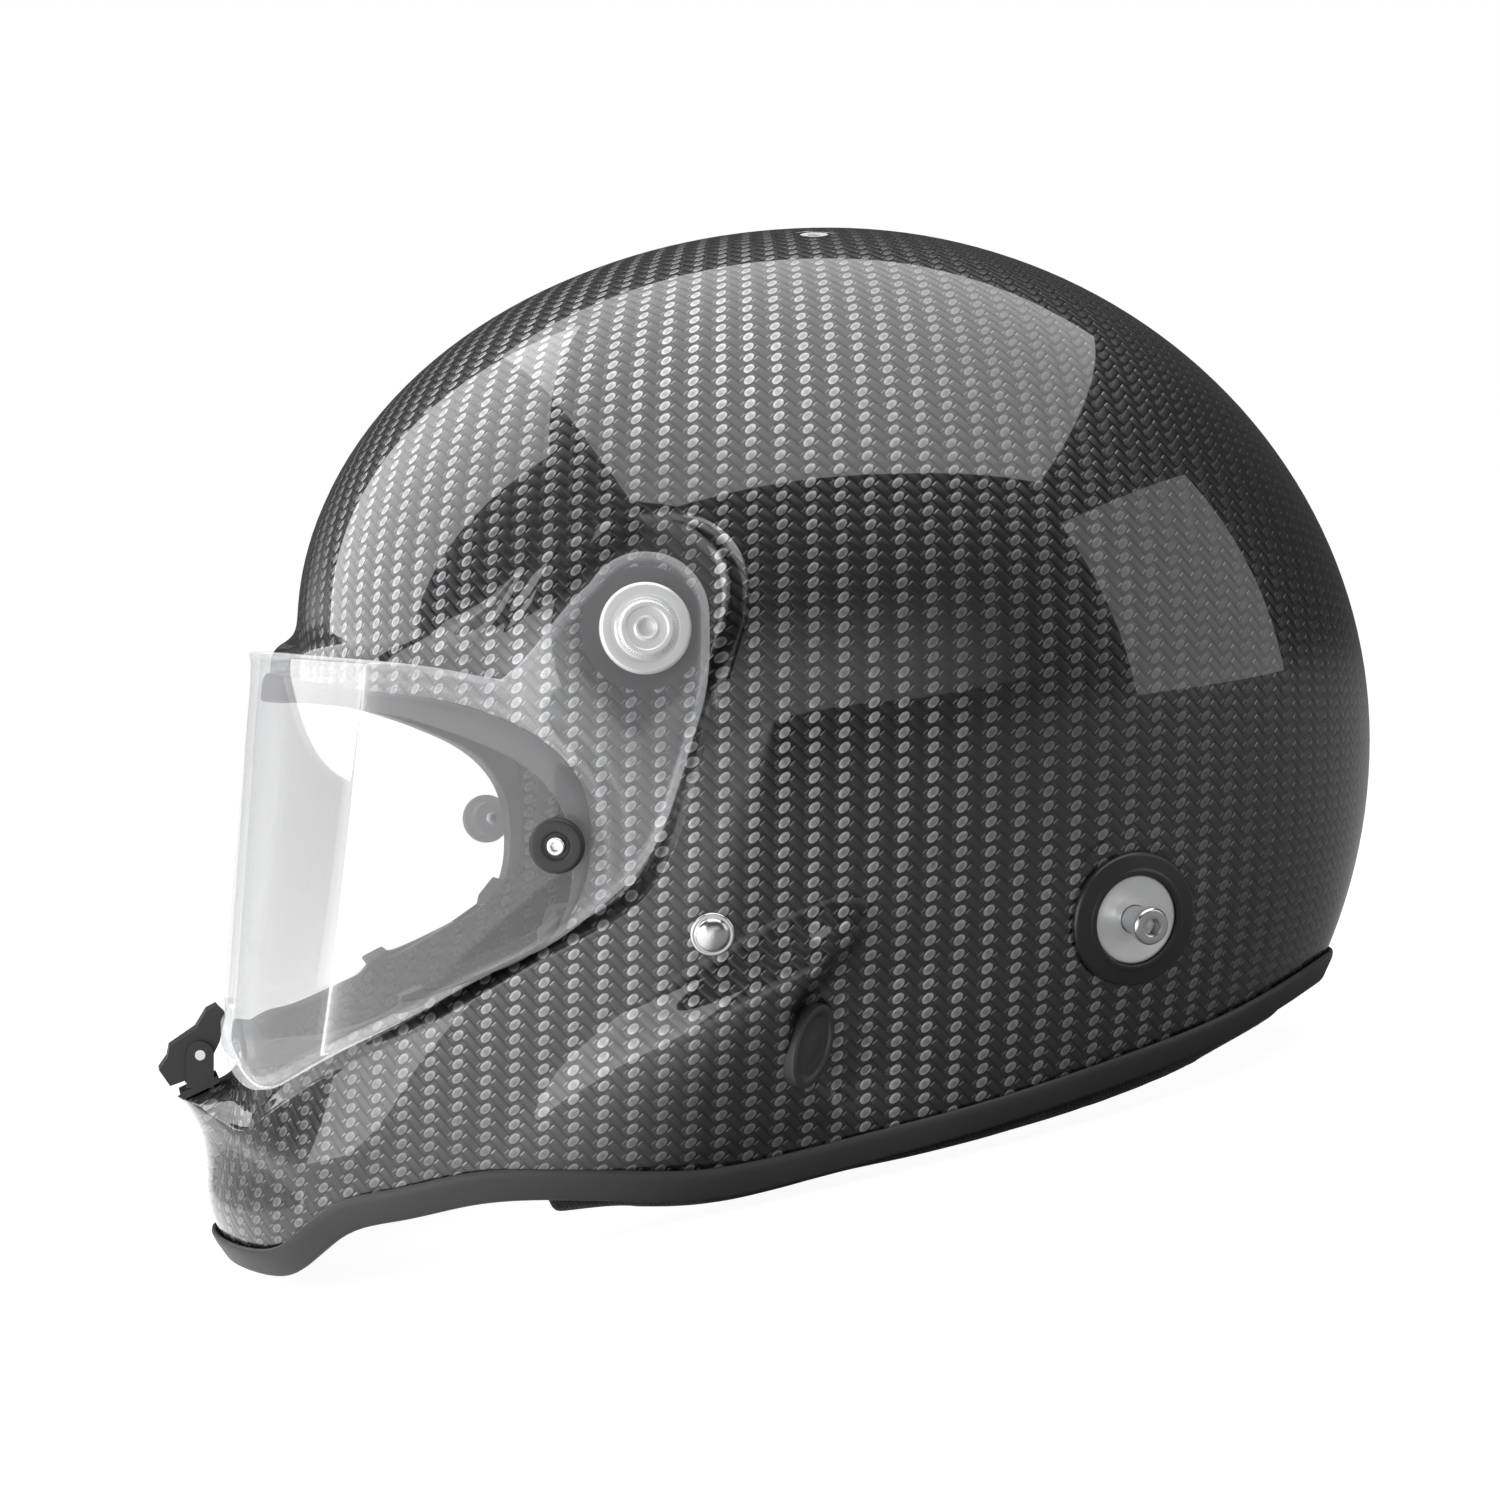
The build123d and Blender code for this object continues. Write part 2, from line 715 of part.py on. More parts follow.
visor -= Pos(visor_brow_x, 0.0, visor_notch_z - overrun) * Box(reach / 2, visor_notch_half * 2, overrun * 2)
tear_frame = side_frame(tear_x, tear_z, visor_side)
for cut in (pivot_disc(bush_radius + bush_fit, 0.0, half_width * 2), tear_frame * disc(tear_shank, -overrun, overrun)):
    visor -= cut
    visor -= mirrored(cut)
parts["visor_shield"] = visor

# Visor pivots, from the insert in the shell out to the screw
for side, flip in (("left", lambda piece: piece), ("right", mirrored)):
    parts["pivot_insert_" + side] = flip(
        pivot_disc(insert_radius, insert_face - insert_length, insert_face, stem_radius))
    parts["pivot_washer_" + side] = flip(pivot_disc(washer_radius, insert_face, washer_top, stem_radius))
    parts["pivot_bush_" + side] = flip(pivot_disc(bush_radius, washer_top, flange_seat, stem_radius))
    parts["pivot_flange_" + side] = flip(
        pivot_disc(flange_radius, flange_seat, flange_seat + flange_thick, stem_radius))
    screw = pivot_disc(stem_radius, insert_face - insert_length, flange_seat + flange_thick)
    screw += pivot_disc(
        button_radius, flange_seat + flange_thick, flange_seat + flange_thick + button_thick)
    screw -= pivot_disc(
        button_recess, flange_seat + flange_thick, flange_seat + overrun)
    parts["pivot_screw_" + side] = flip(screw)

    post = tear_frame * (disc(tear_neck, 0.0, tear_reach) + disc(tear_radius, tear_reach / 2, tear_reach))
    post -= tear_frame * disc(tear_shank, -overrun, overrun)
    parts["tear_off_post_" + side] = flip(post)
    tear_bolt = disc(tear_shank, -visor_wall - tear_nut, tear_reach) + disc(
        tear_screw, tear_reach, tear_reach + tear_screw / 2)
    parts["tear_off_screw_" + side] = flip(tear_frame * tear_bolt)

    ring = disc(anchor_radius, -anchor_seat, anchor_step * anchor_step_shares[0]) + disc(
        anchor_radius * anchor_step_shares[1], -anchor_seat, anchor_step)
    ring -= disc(dish_radius, -overrun, overrun)
    parts["anchor_ring_" + side] = flip(seated(anchor_frame * ring, anchor_frame))
    dish = disc(dish_radius, -anchor_seat, dish_thick * anchor_step_shares[2], post_neck)
    parts["anchor_dish_" + side] = flip(seated(anchor_frame * dish, anchor_frame))
    post = disc(post_neck, -nut_depth, post_reach) + disc(post_radius, post_reach - post_head, post_reach)
    post -= Pos(0, 0, post_reach - post_socket_depth) * extrude(
        RegularPolygon(post_socket, 6), post_socket_depth + overrun)
    parts["anchor_post_" + side] = flip(anchor_frame * post)
    nut = Pos(0, 0, -nut_depth) * extrude(RegularPolygon(nut_radius, 6), nut_thick)
    nut -= disc(post_neck, -overrun, overrun)
    parts["anchor_nut_" + side] = flip(anchor_frame * nut)

    rivet_rise = rivet_ring * rivet_rise_shares[0]
    rivet = disc(rivet_ring, 0.0, rivet_rise) + disc(rivet_shank, -rivet_grip, rivet_rise)
    dome = Sphere(rivet_dome) & Pos(0, 0, rivet_dome) * Box(rivet_dome * 2, rivet_dome * 2, rivet_dome * 2)
    rivet += Pos(0, 0, rivet_rise) * scale(dome, (1, 1, rivet_rise_shares[1]))
    parts["strap_rivet_" + side] = flip(rivet_frame * rivet)

    plug_frame = side_frame(port_x, port_z, shell_side)
    plug = extrude(Ellipse(port_half_width, port_half_length), port_reach + port_seat)
    plug = Pos(0, 0, -port_seat) * Rot(0, 0, port_tilt) * plug
    parts["port_plug_" + side] = flip(seated(plug_frame * plug, plug_frame))

    peak = disc(peak_radius, -peak_depth, -peak_sink, peak_bore)
    parts["peak_insert_" + side] = flip(peak_frame * peak)

# Foam liner in three blocks, a crown and two sides, cut back round the temples and the fittings
liner_outer = shell_wall + liner_gap
liner_inner = liner_outer + liner_thick
temple_corners = placed(temple_shares)
temple_zone = outline_block([Polyline(*temple_corners, temple_corners[0])], half_width * 2)
temple_levels = [-rise + rise * 2 * i / temple_sections for i in range(temple_sections - 1)]
temple_band = front_band(-overrun, floor_inset + liner_outer + liner_ease, temple_levels, crown_x - probe)
liner_cuts = [
    temple_band & temple_zone,
    anchor_frame * disc(nut_radius + liner_gap * 3, -nut_depth - liner_gap, overrun),
    pivot_disc(insert_radius + liner_gap, insert_face - insert_length - liner_gap, half_width * 2),
    rivet_frame * disc(rivet_ring, -rivet_grip - liner_gap, overrun),
    peak_frame * disc(peak_radius + liner_gap, -peak_depth - liner_gap, overrun),
]
crown_block = fan(liner_turns, liner_sections, liner_top_shares, liner_outer, liner_inner)
side_block = fan(liner_turns, liner_sections, liner_side_shares, liner_outer, liner_inner)
for cut in liner_cuts:
    crown_block -= cut
    side_block -= cut
for cut in liner_cuts[1:]:
    crown_block -= mirrored(cut)
parts["impact_liner"] = crown_block
parts["side_liner_left"] = side_block
parts["side_liner_right"] = mirrored(side_block)

# Comfort pads inside the liner
pad_outer = liner_inner + pad_gap
pad_inner = pad_outer + pad_thick
parts["crown_pad"] = fan(crown_turns, 6, crown_pad_shares, pad_outer, pad_inner)
parts["brow_pad"] = fan(brow_turns, 3, brow_pad_shares, pad_outer, pad_inner)
parts["nape_pad"] = fan(nape_turns, 4, nape_pad_shares, pad_outer, pad_inner)
side_pad = fan(side_turns, 6, side_pad_shares, pad_outer, pad_inner)
parts["side_pad_left"] = side_pad
parts["side_pad_right"] = mirrored(side_pad)


def cheek_pad():
    """Left cheek pad, lofted through level sections inside the shell."""
    sections = []
    for z, near, far in cheek_levels:
        outer = []
        inner = []
        for j in range(6):
            x = near + (far - near) * j / 5
            outer.append(Vector(x, -shell_side(x, z, cheek_inset), z))
            bulge = 1.0 - abs(2 * j / 5 - 1) ** 2 * cheek_bulge_share
            inner.append(Vector(x, -shell_side(x, z, cheek_inset) + cheek_thick * bulge, z))
        sections.append(Wire([
            Edge.make_spline(outer), Edge.make_line(outer[-1], inner[-1]),
            Edge.make_spline(inner), Edge.make_line(inner[0], outer[0]),
        ]))
    return Solid.make_loft(sections)


cheek_inset = strap_inset + strap_thick + strap_slack
cheek_levels = [(level * rise, near * reach, far * reach) for level, near, far in cheek_level_shares]
parts["cheek_pad_left"] = cheek_pad()
parts["cheek_pad_right"] = mirrored(parts["cheek_pad_left"])


def chin_foam():
    """Foam block behind the chin bar."""
    sections = []
    for z in (nose_z - foam_height, nose_z - foam_height / 2, nose_z):
        curves = []
        for inset in (foam_gap + shell_wall, foam_gap + shell_wall + foam_thick):
            front = shell_front(z, inset)
            left = []
            for j in range(8):
                x = front + foam_run * (1 - j / 7) ** 2
                y = 0.0 if j == 7 else shell_side(x, z, inset)
                left.append(Vector(x, -y, z))
            curves.append(left + [Vector(p.X, -p.Y, p.Z) for p in reversed(left[:-1])])
        sections.append(Wire([
            Edge.make_spline(curves[0]), Edge.make_line(curves[0][-1], curves[1][-1]),
            Edge.make_spline(curves[1]), Edge.make_line(curves[1][0], curves[0][0]),
        ]))
    return Solid.make_loft(sections)


parts["chin_foam"] = chin_foam()


def neck_roll():
    """Padded roll inside the neck rim, from cheek to cheek round the rear."""
    edge_row, next_row = all_rows[-1], all_rows[-2]
    facing = normals([next_row, edge_row])[1]
    last = max(i for i, share in enumerate(station_shares) if share <= roll_end_share)
    sections = []
    order = [(i, 1.0) for i in range(last, -1, -1)] + [(i, -1.0) for i in range(1, last + 1)]
    for i, hand in order:
        edge, normal = edge_row[i], facing[i]
        down = (edge - next_row[i]).normalized()
        share = station_shares[i] / roll_end_share
        drop = roll_drop_rear + (roll_drop_side - roll_drop_rear) * min(1.0, share * roll_drop_rate_share)
        taper = 1.0 - max(0.0, share - roll_taper_start_share) * roll_taper_rate_share
        outer = -shell_wall - trim_over - roll_gap
        inner = outer - roll_thick * taper
        middle = (outer + inner) / 2
        top, shoulder, start, straight, bend, bend_in, heel, heel_in, back, back_in = roll_shares
        profile = [
            (-roll_height * top * taper, middle), (-roll_height * shoulder, outer), (drop * start, outer),
            (drop * straight, outer), (drop * bend, outer + (middle - outer) * bend_in), (drop, middle),
            (drop * heel, middle + (inner - middle) * heel_in),
            (0.0, inner), (-roll_height * back * taper, middle + (inner - middle) * back_in),
        ]
        points = [edge + down * past + normal * out for past, out in profile]
        points = [Vector(p.X, p.Y * hand, p.Z) for p in points]
        sections.append(Wire([
            Edge.make_spline(points[:6]), Edge.make_spline(points[5:] + points[:1]),
        ]))
    return Solid.make_loft(sections)


parts["neck_roll"] = neck_roll()

# Latch at the chin
latch_outline = [Vector(a * reach, 0, b * rise) for a, b in latch_shares]
lever = outline_block([Polyline(*latch_outline, latch_outline[0])], latch_half)
pin_place = Plane((latch_pin_x, 0.0, latch_pin_z), x_dir=(1, 0, 0), z_dir=(0, -1, 0))
ear_outer = latch_half + latch_fit + latch_ear
lever -= pin_place * disc(latch_pin_radius + latch_fit, -overrun, overrun)
parts["latch_lever"] = lever
parts["latch_pin"] = pin_place * disc(latch_pin_radius, -ear_outer, ear_outer)
ear = disc(latch_ear_radius, latch_half + latch_fit, ear_outer)
foot = Pos(0, -latch_drop / 2, latch_half + latch_fit + latch_ear / 2) * Box(
    latch_ear_radius * 2, latch_drop, latch_ear)
plate = Pos(0, -latch_drop, 0) * Rot(0, 0, ledge_turn) * Box(latch_ear_radius * 3, latch_plate, ear_outer * 2)
base = pin_place * (ear + foot + mirror(ear + foot, Plane.XY) + plate)
base -= pin_place * disc(latch_pin_radius, -overrun, overrun)
parts["latch_base"] = base - shell_body

# Chin strap and its rings
strap_levels = [rivet_z + strap_head] + [share * rise for share in strap_drop_shares]
strap_path = [(shell_side(strap_x, level, strap_inset), level) for level in strap_levels]
strap_path += [(across * reach, down * rise) for across, down in strap_under_shares]
strap_path += [(strap_end, strap_end_share * rise)]


def strap(path):
    """Webbing band along a path seen from the front."""
    outer = [Vector(strap_x - strap_width / 2, -y, z) for y, z in path]
    inner = []
    for i, point in enumerate(outer):
        ahead = outer[min(i + 1, len(outer) - 1)] - outer[max(i - 1, 0)]
        inner.append(point + Vector(0.0, -ahead.Z, ahead.Y).normalized() * strap_thick)
    band = make_face([
        Spline(*outer), Line(outer[-1], inner[-1]), Spline(*inner), Line(inner[0], outer[0])
    ])
    return extrude(band, amount=strap_width, dir=(1, 0, 0))


parts["chin_strap_left"] = strap(strap_path)
parts["chin_strap_right"] = mirrored(parts["chin_strap_left"])
for side, flip in (("left", lambda piece: piece), ("right", mirrored)):
    slot = rivet_frame * disc(rivet_shank + liner_gap, -overrun, overrun)
    parts["chin_strap_" + side] -= flip(slot)
ring_outer = SlotOverall(strap_width + ring_wire * 4, ring_wire * 2 + ring_open)
ring_inner = SlotOverall(strap_width + ring_wire * 2, ring_open)
for name, y in (("strap_ring_left", -ring_y), ("strap_ring_right", ring_y)):
    ring = extrude(ring_outer - ring_inner, ring_wire)
    parts[name] = Pos(strap_x, y, ring_share * rise - ring_wire / 2) * ring

# Placing: the helmet leans back on its neck roll, on the two knees and the rear pad
knee_rest, rear_rest = placed([knee_rest_shares, rear_rest_shares])
lean = atan2(rear_rest.Z - knee_rest.Z, rear_rest.X - knee_rest.X)
leaned = {name: Rot(0, degrees(lean), 0) * piece for name, piece in parts.items()}
box = Compound(children=[Part(piece.wrapped) for piece in leaned.values()]).bounding_box()
shift = Pos(-(box.min.X + box.max.X) / 2, 0.0, -box.min.Z)
print("lean", degrees(lean), "shift", shift.position)

os.makedirs("parts", exist_ok=True)
for name, piece in leaned.items():
    export_step(shift * piece, "parts/" + name + ".step")
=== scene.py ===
# %% [markdown]
# # An auto racing helmet
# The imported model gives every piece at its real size: shell, visor, pivots, latch, posts, pads and
# straps. This lesson dresses that frame: it lays twill cloth on the shell, rounds the edges that a
# solid leaves sharp, turns the metal, and swells the pads.
#
# Shapes are worked out in millimetres in the attitude in which the helmet is worn: X to the rear,
# Y to the wearer's right, Z up. One function leans them back onto the neck roll, in metres.

import bmesh
import bpy
import numpy as np
from mathutils import Matrix, Vector


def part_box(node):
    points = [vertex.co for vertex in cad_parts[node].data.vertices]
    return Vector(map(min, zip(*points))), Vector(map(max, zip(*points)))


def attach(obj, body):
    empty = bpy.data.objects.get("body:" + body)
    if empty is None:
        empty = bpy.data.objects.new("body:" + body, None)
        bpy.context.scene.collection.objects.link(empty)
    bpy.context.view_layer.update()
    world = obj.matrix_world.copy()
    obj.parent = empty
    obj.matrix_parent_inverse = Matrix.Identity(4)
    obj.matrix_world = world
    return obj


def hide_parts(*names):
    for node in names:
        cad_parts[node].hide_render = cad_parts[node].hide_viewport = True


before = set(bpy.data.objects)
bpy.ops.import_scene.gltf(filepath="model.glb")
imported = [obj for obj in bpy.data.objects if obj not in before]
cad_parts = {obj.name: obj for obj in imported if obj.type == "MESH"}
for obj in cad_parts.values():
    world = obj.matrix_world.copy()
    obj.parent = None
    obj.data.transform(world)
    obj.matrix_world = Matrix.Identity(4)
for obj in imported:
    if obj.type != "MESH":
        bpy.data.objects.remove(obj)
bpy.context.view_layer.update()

# %% From the worn attitude to the frame
pivot_worn = np.array([-45.4, 0.0, 35.3])
rest_drop, rest_run = 41.0, 178.0
lean = np.arctan2(rest_drop, rest_run)
millimetre = 0.001


def turned(vectors):
    """Vectors turned by the lean about the cross axis."""
    vectors = np.asarray(vectors, float)
    x, y, z = vectors[..., 0], vectors[..., 1], vectors[..., 2]
    return np.stack([x * np.cos(lean) + z * np.sin(lean), y, z * np.cos(lean) - x * np.sin(lean)], -1)


pivot_row = np.mean(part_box("pivot_flange_left"), axis=0)
frame_shift = np.array([pivot_row[0], 0.0, pivot_row[2]]) - turned(pivot_worn) * millimetre


def settled(points):
    """Places in metres in the frame, from worn places in millimetres."""
    return turned(points) * millimetre + frame_shift


print("lean", round(float(np.degrees(lean)), 3), "shift", np.round(frame_shift, 4))

# %% [markdown]
# ## Making meshes from arrays
# Every new piece is a grid of points. Its faces join neighbours in the grid, and a grid that wraps
# both ways is a closed skin, like a tyre. The sign of the enclosed volume tells whether the faces
# point outwards, so a shape made the wrong way round is turned before it becomes a mesh.

# %% Mesh helpers
smooth_angle = np.radians(38.0)


def grid_faces(rows, columns, wrap_rows=False, wrap_columns=False):
    """Four-sided faces between neighbours of a grid, joined end to end where it wraps."""
    r = np.arange(rows if wrap_rows else rows - 1)[:, None]
    c = np.arange(columns if wrap_columns else columns - 1)[None, :]
    after, right = (r + 1) % rows, (c + 1) % columns
    corners = [r * columns + c, r * columns + right, after * columns + right, after * columns + c]
    return np.stack(np.broadcast_arrays(*corners), -1).reshape(-1, 4)


def volume(points, faces):
    """Six times the volume inside the faces, positive where they point outwards."""
    a, b, c = (points[faces[:, i]] for i in range(3))
    total = np.einsum("ij,ij->", a, np.cross(b, c))
    if faces.shape[1] == 4:
        d = points[faces[:, 3]]
        total += np.einsum("ij,ij->", a, np.cross(c, d))
    return total


def mesh_object(name, points, faces, weave=None, sharp=True):
    """Mesh object of points in metres, with faces turned outwards and a weave map in millimetres."""
    points = points.reshape(-1, 3)
    if volume(points - points.mean(0), faces) < 0:
        faces = faces[:, ::-1]
    mesh = bpy.data.meshes.new(name)
    mesh.from_pydata(points.tolist(), [], faces.tolist())
    if weave is not None:
        layer = mesh.uv_layers.new(name="weave")
        layer.data.foreach_set("uv", weave.reshape(-1, 2)[faces.ravel()].astype(np.float32).ravel())
    mesh.shade_smooth()
    if sharp:
        mesh.set_sharp_from_angle(angle=smooth_angle)
    mesh.update()
    piece = bpy.data.objects.new(name, mesh)
    bpy.context.scene.collection.objects.link(piece)
    return piece


def finished(piece, body, slot, *nodes):
    """Gives a piece its slot's finish, its body and the nodes that it stands for."""
    piece.data.materials.clear()
    piece.data.materials.append(finish_by_slot[slot])
    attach(piece, body)
    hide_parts(*nodes)
    return piece


def opposite(points):
    """The same places on the helmet's other side."""
    return points * np.array([1.0, -1.0, 1.0])


def rounded_corners(corners, radius, steps=4, axis=False):
    """Closed outline whose corners are cut by short curves, apart from those on the axis of a turned form."""
    corners = np.asarray(corners, float)
    out = []
    for before, here, after in zip(np.roll(corners, 1, 0), corners, np.roll(corners, -1, 0)):
        if axis and here[0] <= 0.0:
            out.append(here[None])
            continue
        cut = [min(radius, np.linalg.norm(other - here) * 0.45) for other in (before, after)]
        start = here + (before - here) / np.linalg.norm(before - here) * cut[0]
        stop = here + (after - here) / np.linalg.norm(after - here) * cut[1]
        t = np.linspace(0.0, 1.0, steps)[:, None]
        out.append(start * (1 - t) ** 2 + here * 2 * t * (1 - t) + stop * t ** 2)
    return np.concatenate(out)


def curve(points, shares):
    """Natural cubic curve through points, with their running distance as its parameter."""
    points = np.asarray(points, float)
    knots = np.concatenate([[0.0], np.cumsum(np.linalg.norm(np.diff(points, axis=0), axis=1))])
    knots /= knots[-1]
    gaps = np.diff(knots)
    count = len(points)
    system = np.eye(count)
    right = np.zeros_like(points)
    for i in range(1, count - 1):
        system[i, i - 1:i + 2] = gaps[i - 1], 2 * (gaps[i - 1] + gaps[i]), gaps[i]
        right[i] = 6 * ((points[i + 1] - points[i]) / gaps[i] - (points[i] - points[i - 1]) / gaps[i - 1])
    bends = np.linalg.solve(system, right)
    span = np.clip(np.searchsorted(knots, shares, side="right") - 1, 0, count - 2)
    gap = gaps[span][:, None]
    b = ((np.asarray(shares) - knots[span])[:, None]) / gap
    a = 1.0 - b
    return (a * points[span] + b * points[span + 1]
            + ((a ** 3 - a) * bends[span] + (b ** 3 - b) * bends[span + 1]) * gap ** 2 / 6)


def capped(loops):
    """Rows of loops, closed at both ends by their middle places."""
    ends = loops[[0, -1]].mean(1, keepdims=True).repeat(loops.shape[1], 1)
    return np.concatenate([ends[:1], loops, ends[1:]])


# %% [markdown]
# ## The shell's faces as formulas
# Seen from the side, a place has a height and a distance from the crown. The front and rear
# profiles say how far the shell runs at that height, the breadth says how wide it is, and a
# rounded power law between them gives the half width. The visor's face works the same way.

# %% Side functions
half_width, crown_top, crown_x = 125.0, 155.3, 24.0
brow_x, brow_z, rear_x, rear_z = -134.4, 36.0, 184.8, 2.6
reach, rise = 160.0, 150.0
visor_brow_x, visor_brow_z, visor_wall, visor_set_in, floor_inset = -147.9, 29.2, 3.0, 3.5, 6.0
lug_face, lug_radius, lug_blend = 117.0, 21.5, 22.0
shell_wall = 2.6


def smooth_step(value, low, high):
    """Rises smoothly from 0 at low to 1 at high."""
    t = np.clip((value - low) / (high - low), 0.0, 1.0)
    return t * t * (3.0 - 2.0 * t)


def window(value, rise_low, rise_high, fall_low, fall_high):
    """Rises smoothly from 0 to 1 between the first two limits, and falls back between the others."""
    return smooth_step(value, rise_low, rise_high) * (1.0 - smooth_step(value, fall_low, fall_high))


def power_dome(share, power):
    """Height left on a dome of unit size at this share of its run."""
    return np.maximum(0.0, 1.0 - np.abs(share) ** power) ** (1.0 / power)


def shell_front(z):
    """Mid-plane front of the shell at a height."""
    over = crown_x - (crown_x - brow_x) * power_dome((z - brow_z) / (crown_top - brow_z), 2.0)
    under = brow_x - 17.6 * (np.maximum(0.0, brow_z - z) / 121.0) ** 1.2
    under = under + 7.5 * (np.maximum(0.0, -126.0 - z) / 18.0) ** 2
    return np.where(z > brow_z, over, under)


def shell_rear(z):
    """Mid-plane rear of the shell at a height."""
    run = np.where(z > rear_z, crown_top - rear_z, 158.0)
    return crown_x + (rear_x - crown_x) * power_dome((z - rear_z) / run, 2.0)


def shell_breadth(z):
    """Half breadth of the shell at a height."""
    high = half_width * power_dome((z - 10.0) / (crown_top - 10.0), 2.15)
    low = half_width * (1.0 - 0.20 * ((10.0 - z) / 140.0) ** 2)
    return np.where(z > 10.0, high, low)


def shell_side(x, z):
    """Half width of the shell at a side-view place."""
    lift = np.maximum(0.0, z / crown_top)
    front = x < crown_x
    run = np.where(front, crown_x - shell_front(z), shell_rear(z) - crown_x)
    power = 2.1 + np.where(front, 0.45, 0.15) * np.maximum(0.0, 1.0 - lift ** 2)
    return np.where(run > 0.6, shell_breadth(z) * power_dome((x - crown_x) / np.maximum(run, 0.6), power), 0.0)


def visor_front(z, inset=0.0):
    """Mid-plane front of the visor at a height."""
    return visor_brow_x + inset - 9.5 * (visor_brow_z - z) / 107.5


def visor_side(x, z, inset=0.0):
    """Half width of the visor, flattened round the pivots into its lugs."""
    run = crown_x - visor_front(z, inset)
    side = (shell_breadth(z) - visor_set_in - inset) * power_dome((x - crown_x) / run, 2.65)
    from_pivot = np.hypot(x - pivot_worn[0], z - pivot_worn[2])
    ease = smooth_step(from_pivot, lug_radius, lug_radius + lug_blend)
    return side * ease + (lug_face - inset) * (1.0 - ease)


# %% The shell's outlines in the side view
crest_shares = [
    (-0.75, 0.223), (-0.637, 0.227), (-0.537, 0.28), (-0.469, 0.373), (-0.409, 0.453),
    (-0.312, 0.466), (-0.2, 0.446), (-0.130, 0.392), (-0.108, 0.31), (-0.128, 0.21),
    (-0.159, 0.107), (-0.194, -0.02), (-0.234, -0.16), (-0.284, -0.253), (-0.375, -0.323),
    (-0.525, -0.417), (-0.687, -0.523), (-0.85, -0.623), (-0.916, -0.687), (-0.946, -0.712),
]
floor_shares = [
    (-0.762, 0.197), (-0.65, 0.2), (-0.53, 0.252), (-0.452, 0.343), (-0.39, 0.425),
    (-0.312, 0.44), (-0.207, 0.423), (-0.15, 0.378), (-0.128, 0.305), (-0.145, 0.205),
    (-0.174, 0.103), (-0.209, -0.024), (-0.248, -0.153), (-0.294, -0.242), (-0.382, -0.31),
    (-0.532, -0.403), (-0.695, -0.51), (-0.856, -0.603), (-0.914, -0.65), (-0.941, -0.66),
]
port_shares = [
    (-0.762, 0.103), (-0.65, 0.083), (-0.538, 0.043), (-0.456, -0.007), (-0.406, -0.073),
    (-0.388, -0.16), (-0.4, -0.267), (-0.438, -0.333), (-0.512, -0.383), (-0.644, -0.447),
    (-0.794, -0.52), (-0.888, -0.56), (-0.938, -0.567),
]
neck_shares = [
    (1.0, -0.433), (0.938, -0.453), (0.825, -0.5), (0.704, -0.547), (0.542, -0.6),
    (0.353, -0.66), (0.084, -0.737), (-0.074, -0.78), (-0.178, -0.799), (-0.28, -0.8),
    (-0.416, -0.797), (-0.567, -0.81), (-0.684, -0.843), (-0.775, -0.873), (-0.831, -0.927),
    (-0.875, -0.967), (-0.925, -0.973),
]
nose_z, nose_low, nose_reach, nose_half, nose_fall = -101.0, -87.3, 15.5, 42.0, 13.0
scale_pair = np.array([reach, rise])


def side_points(start, shares, stop):
    """Side-view outline from one mid-plane place through a list of shares to another."""
    return np.concatenate([[start], np.array(shares) * scale_pair, [stop]])


def on_profile(z, profile):
    """Mid-plane place on a profile at a height."""
    return (float(profile(np.array(z))), z)


def recess(z):
    """Mid-plane front of the recessed floor at a height."""
    return visor_front(z, floor_inset)


crest_start, crest_stop = on_profile(0.227 * rise, shell_front), on_profile(nose_z, shell_front)
neck_start, neck_stop = on_profile(-0.428 * rise, shell_rear), on_profile(-0.967 * rise, shell_front)
crest_points = side_points(crest_start, crest_shares, crest_stop)
floor_points = side_points(on_profile(0.2 * rise, recess), floor_shares, on_profile(-0.63 * rise, recess))
port_points = side_points(on_profile(0.12 * rise, recess), port_shares, on_profile(-0.553 * rise, recess))
neck_points = side_points(neck_start, neck_shares, neck_stop)
crown_turns = np.linspace(0.0, np.pi / 2, 13)
crown_front = np.stack([
    crown_x - (crown_x - brow_x) * np.cos(crown_turns), brow_z + (crown_top - brow_z) * np.sin(crown_turns)], 1)
crown_back = np.stack([
    crown_x + (rear_x - crown_x) * np.sin(crown_turns), rear_z + (crown_top - rear_z) * np.cos(crown_turns)], 1)
rear_levels = np.linspace(rear_z, neck_start[1], 5)[1:]
crown_points = np.concatenate([
    [crest_start], crown_front[1:], crown_back[1:], np.stack([shell_rear(rear_levels), rear_levels], 1)])

# %% [markdown]
# ## The shell
# The real shell is one moulding with a raised fairing low on each side, a scooped port behind it
# and a boss round each restraint post. Here it is one closed grid: out of the eyeport, over the
# recessed floor, up its wall, over the crown to the neck rim, and back inside. Stations are closer
# together near the mid-plane and at the fairing, where the form turns fastest.

# %% Grid of the shell
station_count, floor_count, wall_count, outer_count, inner_step = 190, 12, 7, 112, 4
fairing_station = 0.53
crest_row = floor_count + wall_count
wall_mixes = np.linspace(0.0, 1.0, wall_count + 2)[1:-1]
bevel_width, corner_width, corner_station = 2.6, 3.0, 0.27


def spread_shares(count, density):
    """Shares from 0 to 1 whose spacing is the inverse of a density function."""
    fine = np.linspace(0.0, 1.0, 4001)
    total = np.concatenate([[0.0], np.cumsum((density(fine)[1:] + density(fine)[:-1]) / 2)])
    return np.interp(np.linspace(0.0, total[-1], count), total, fine)


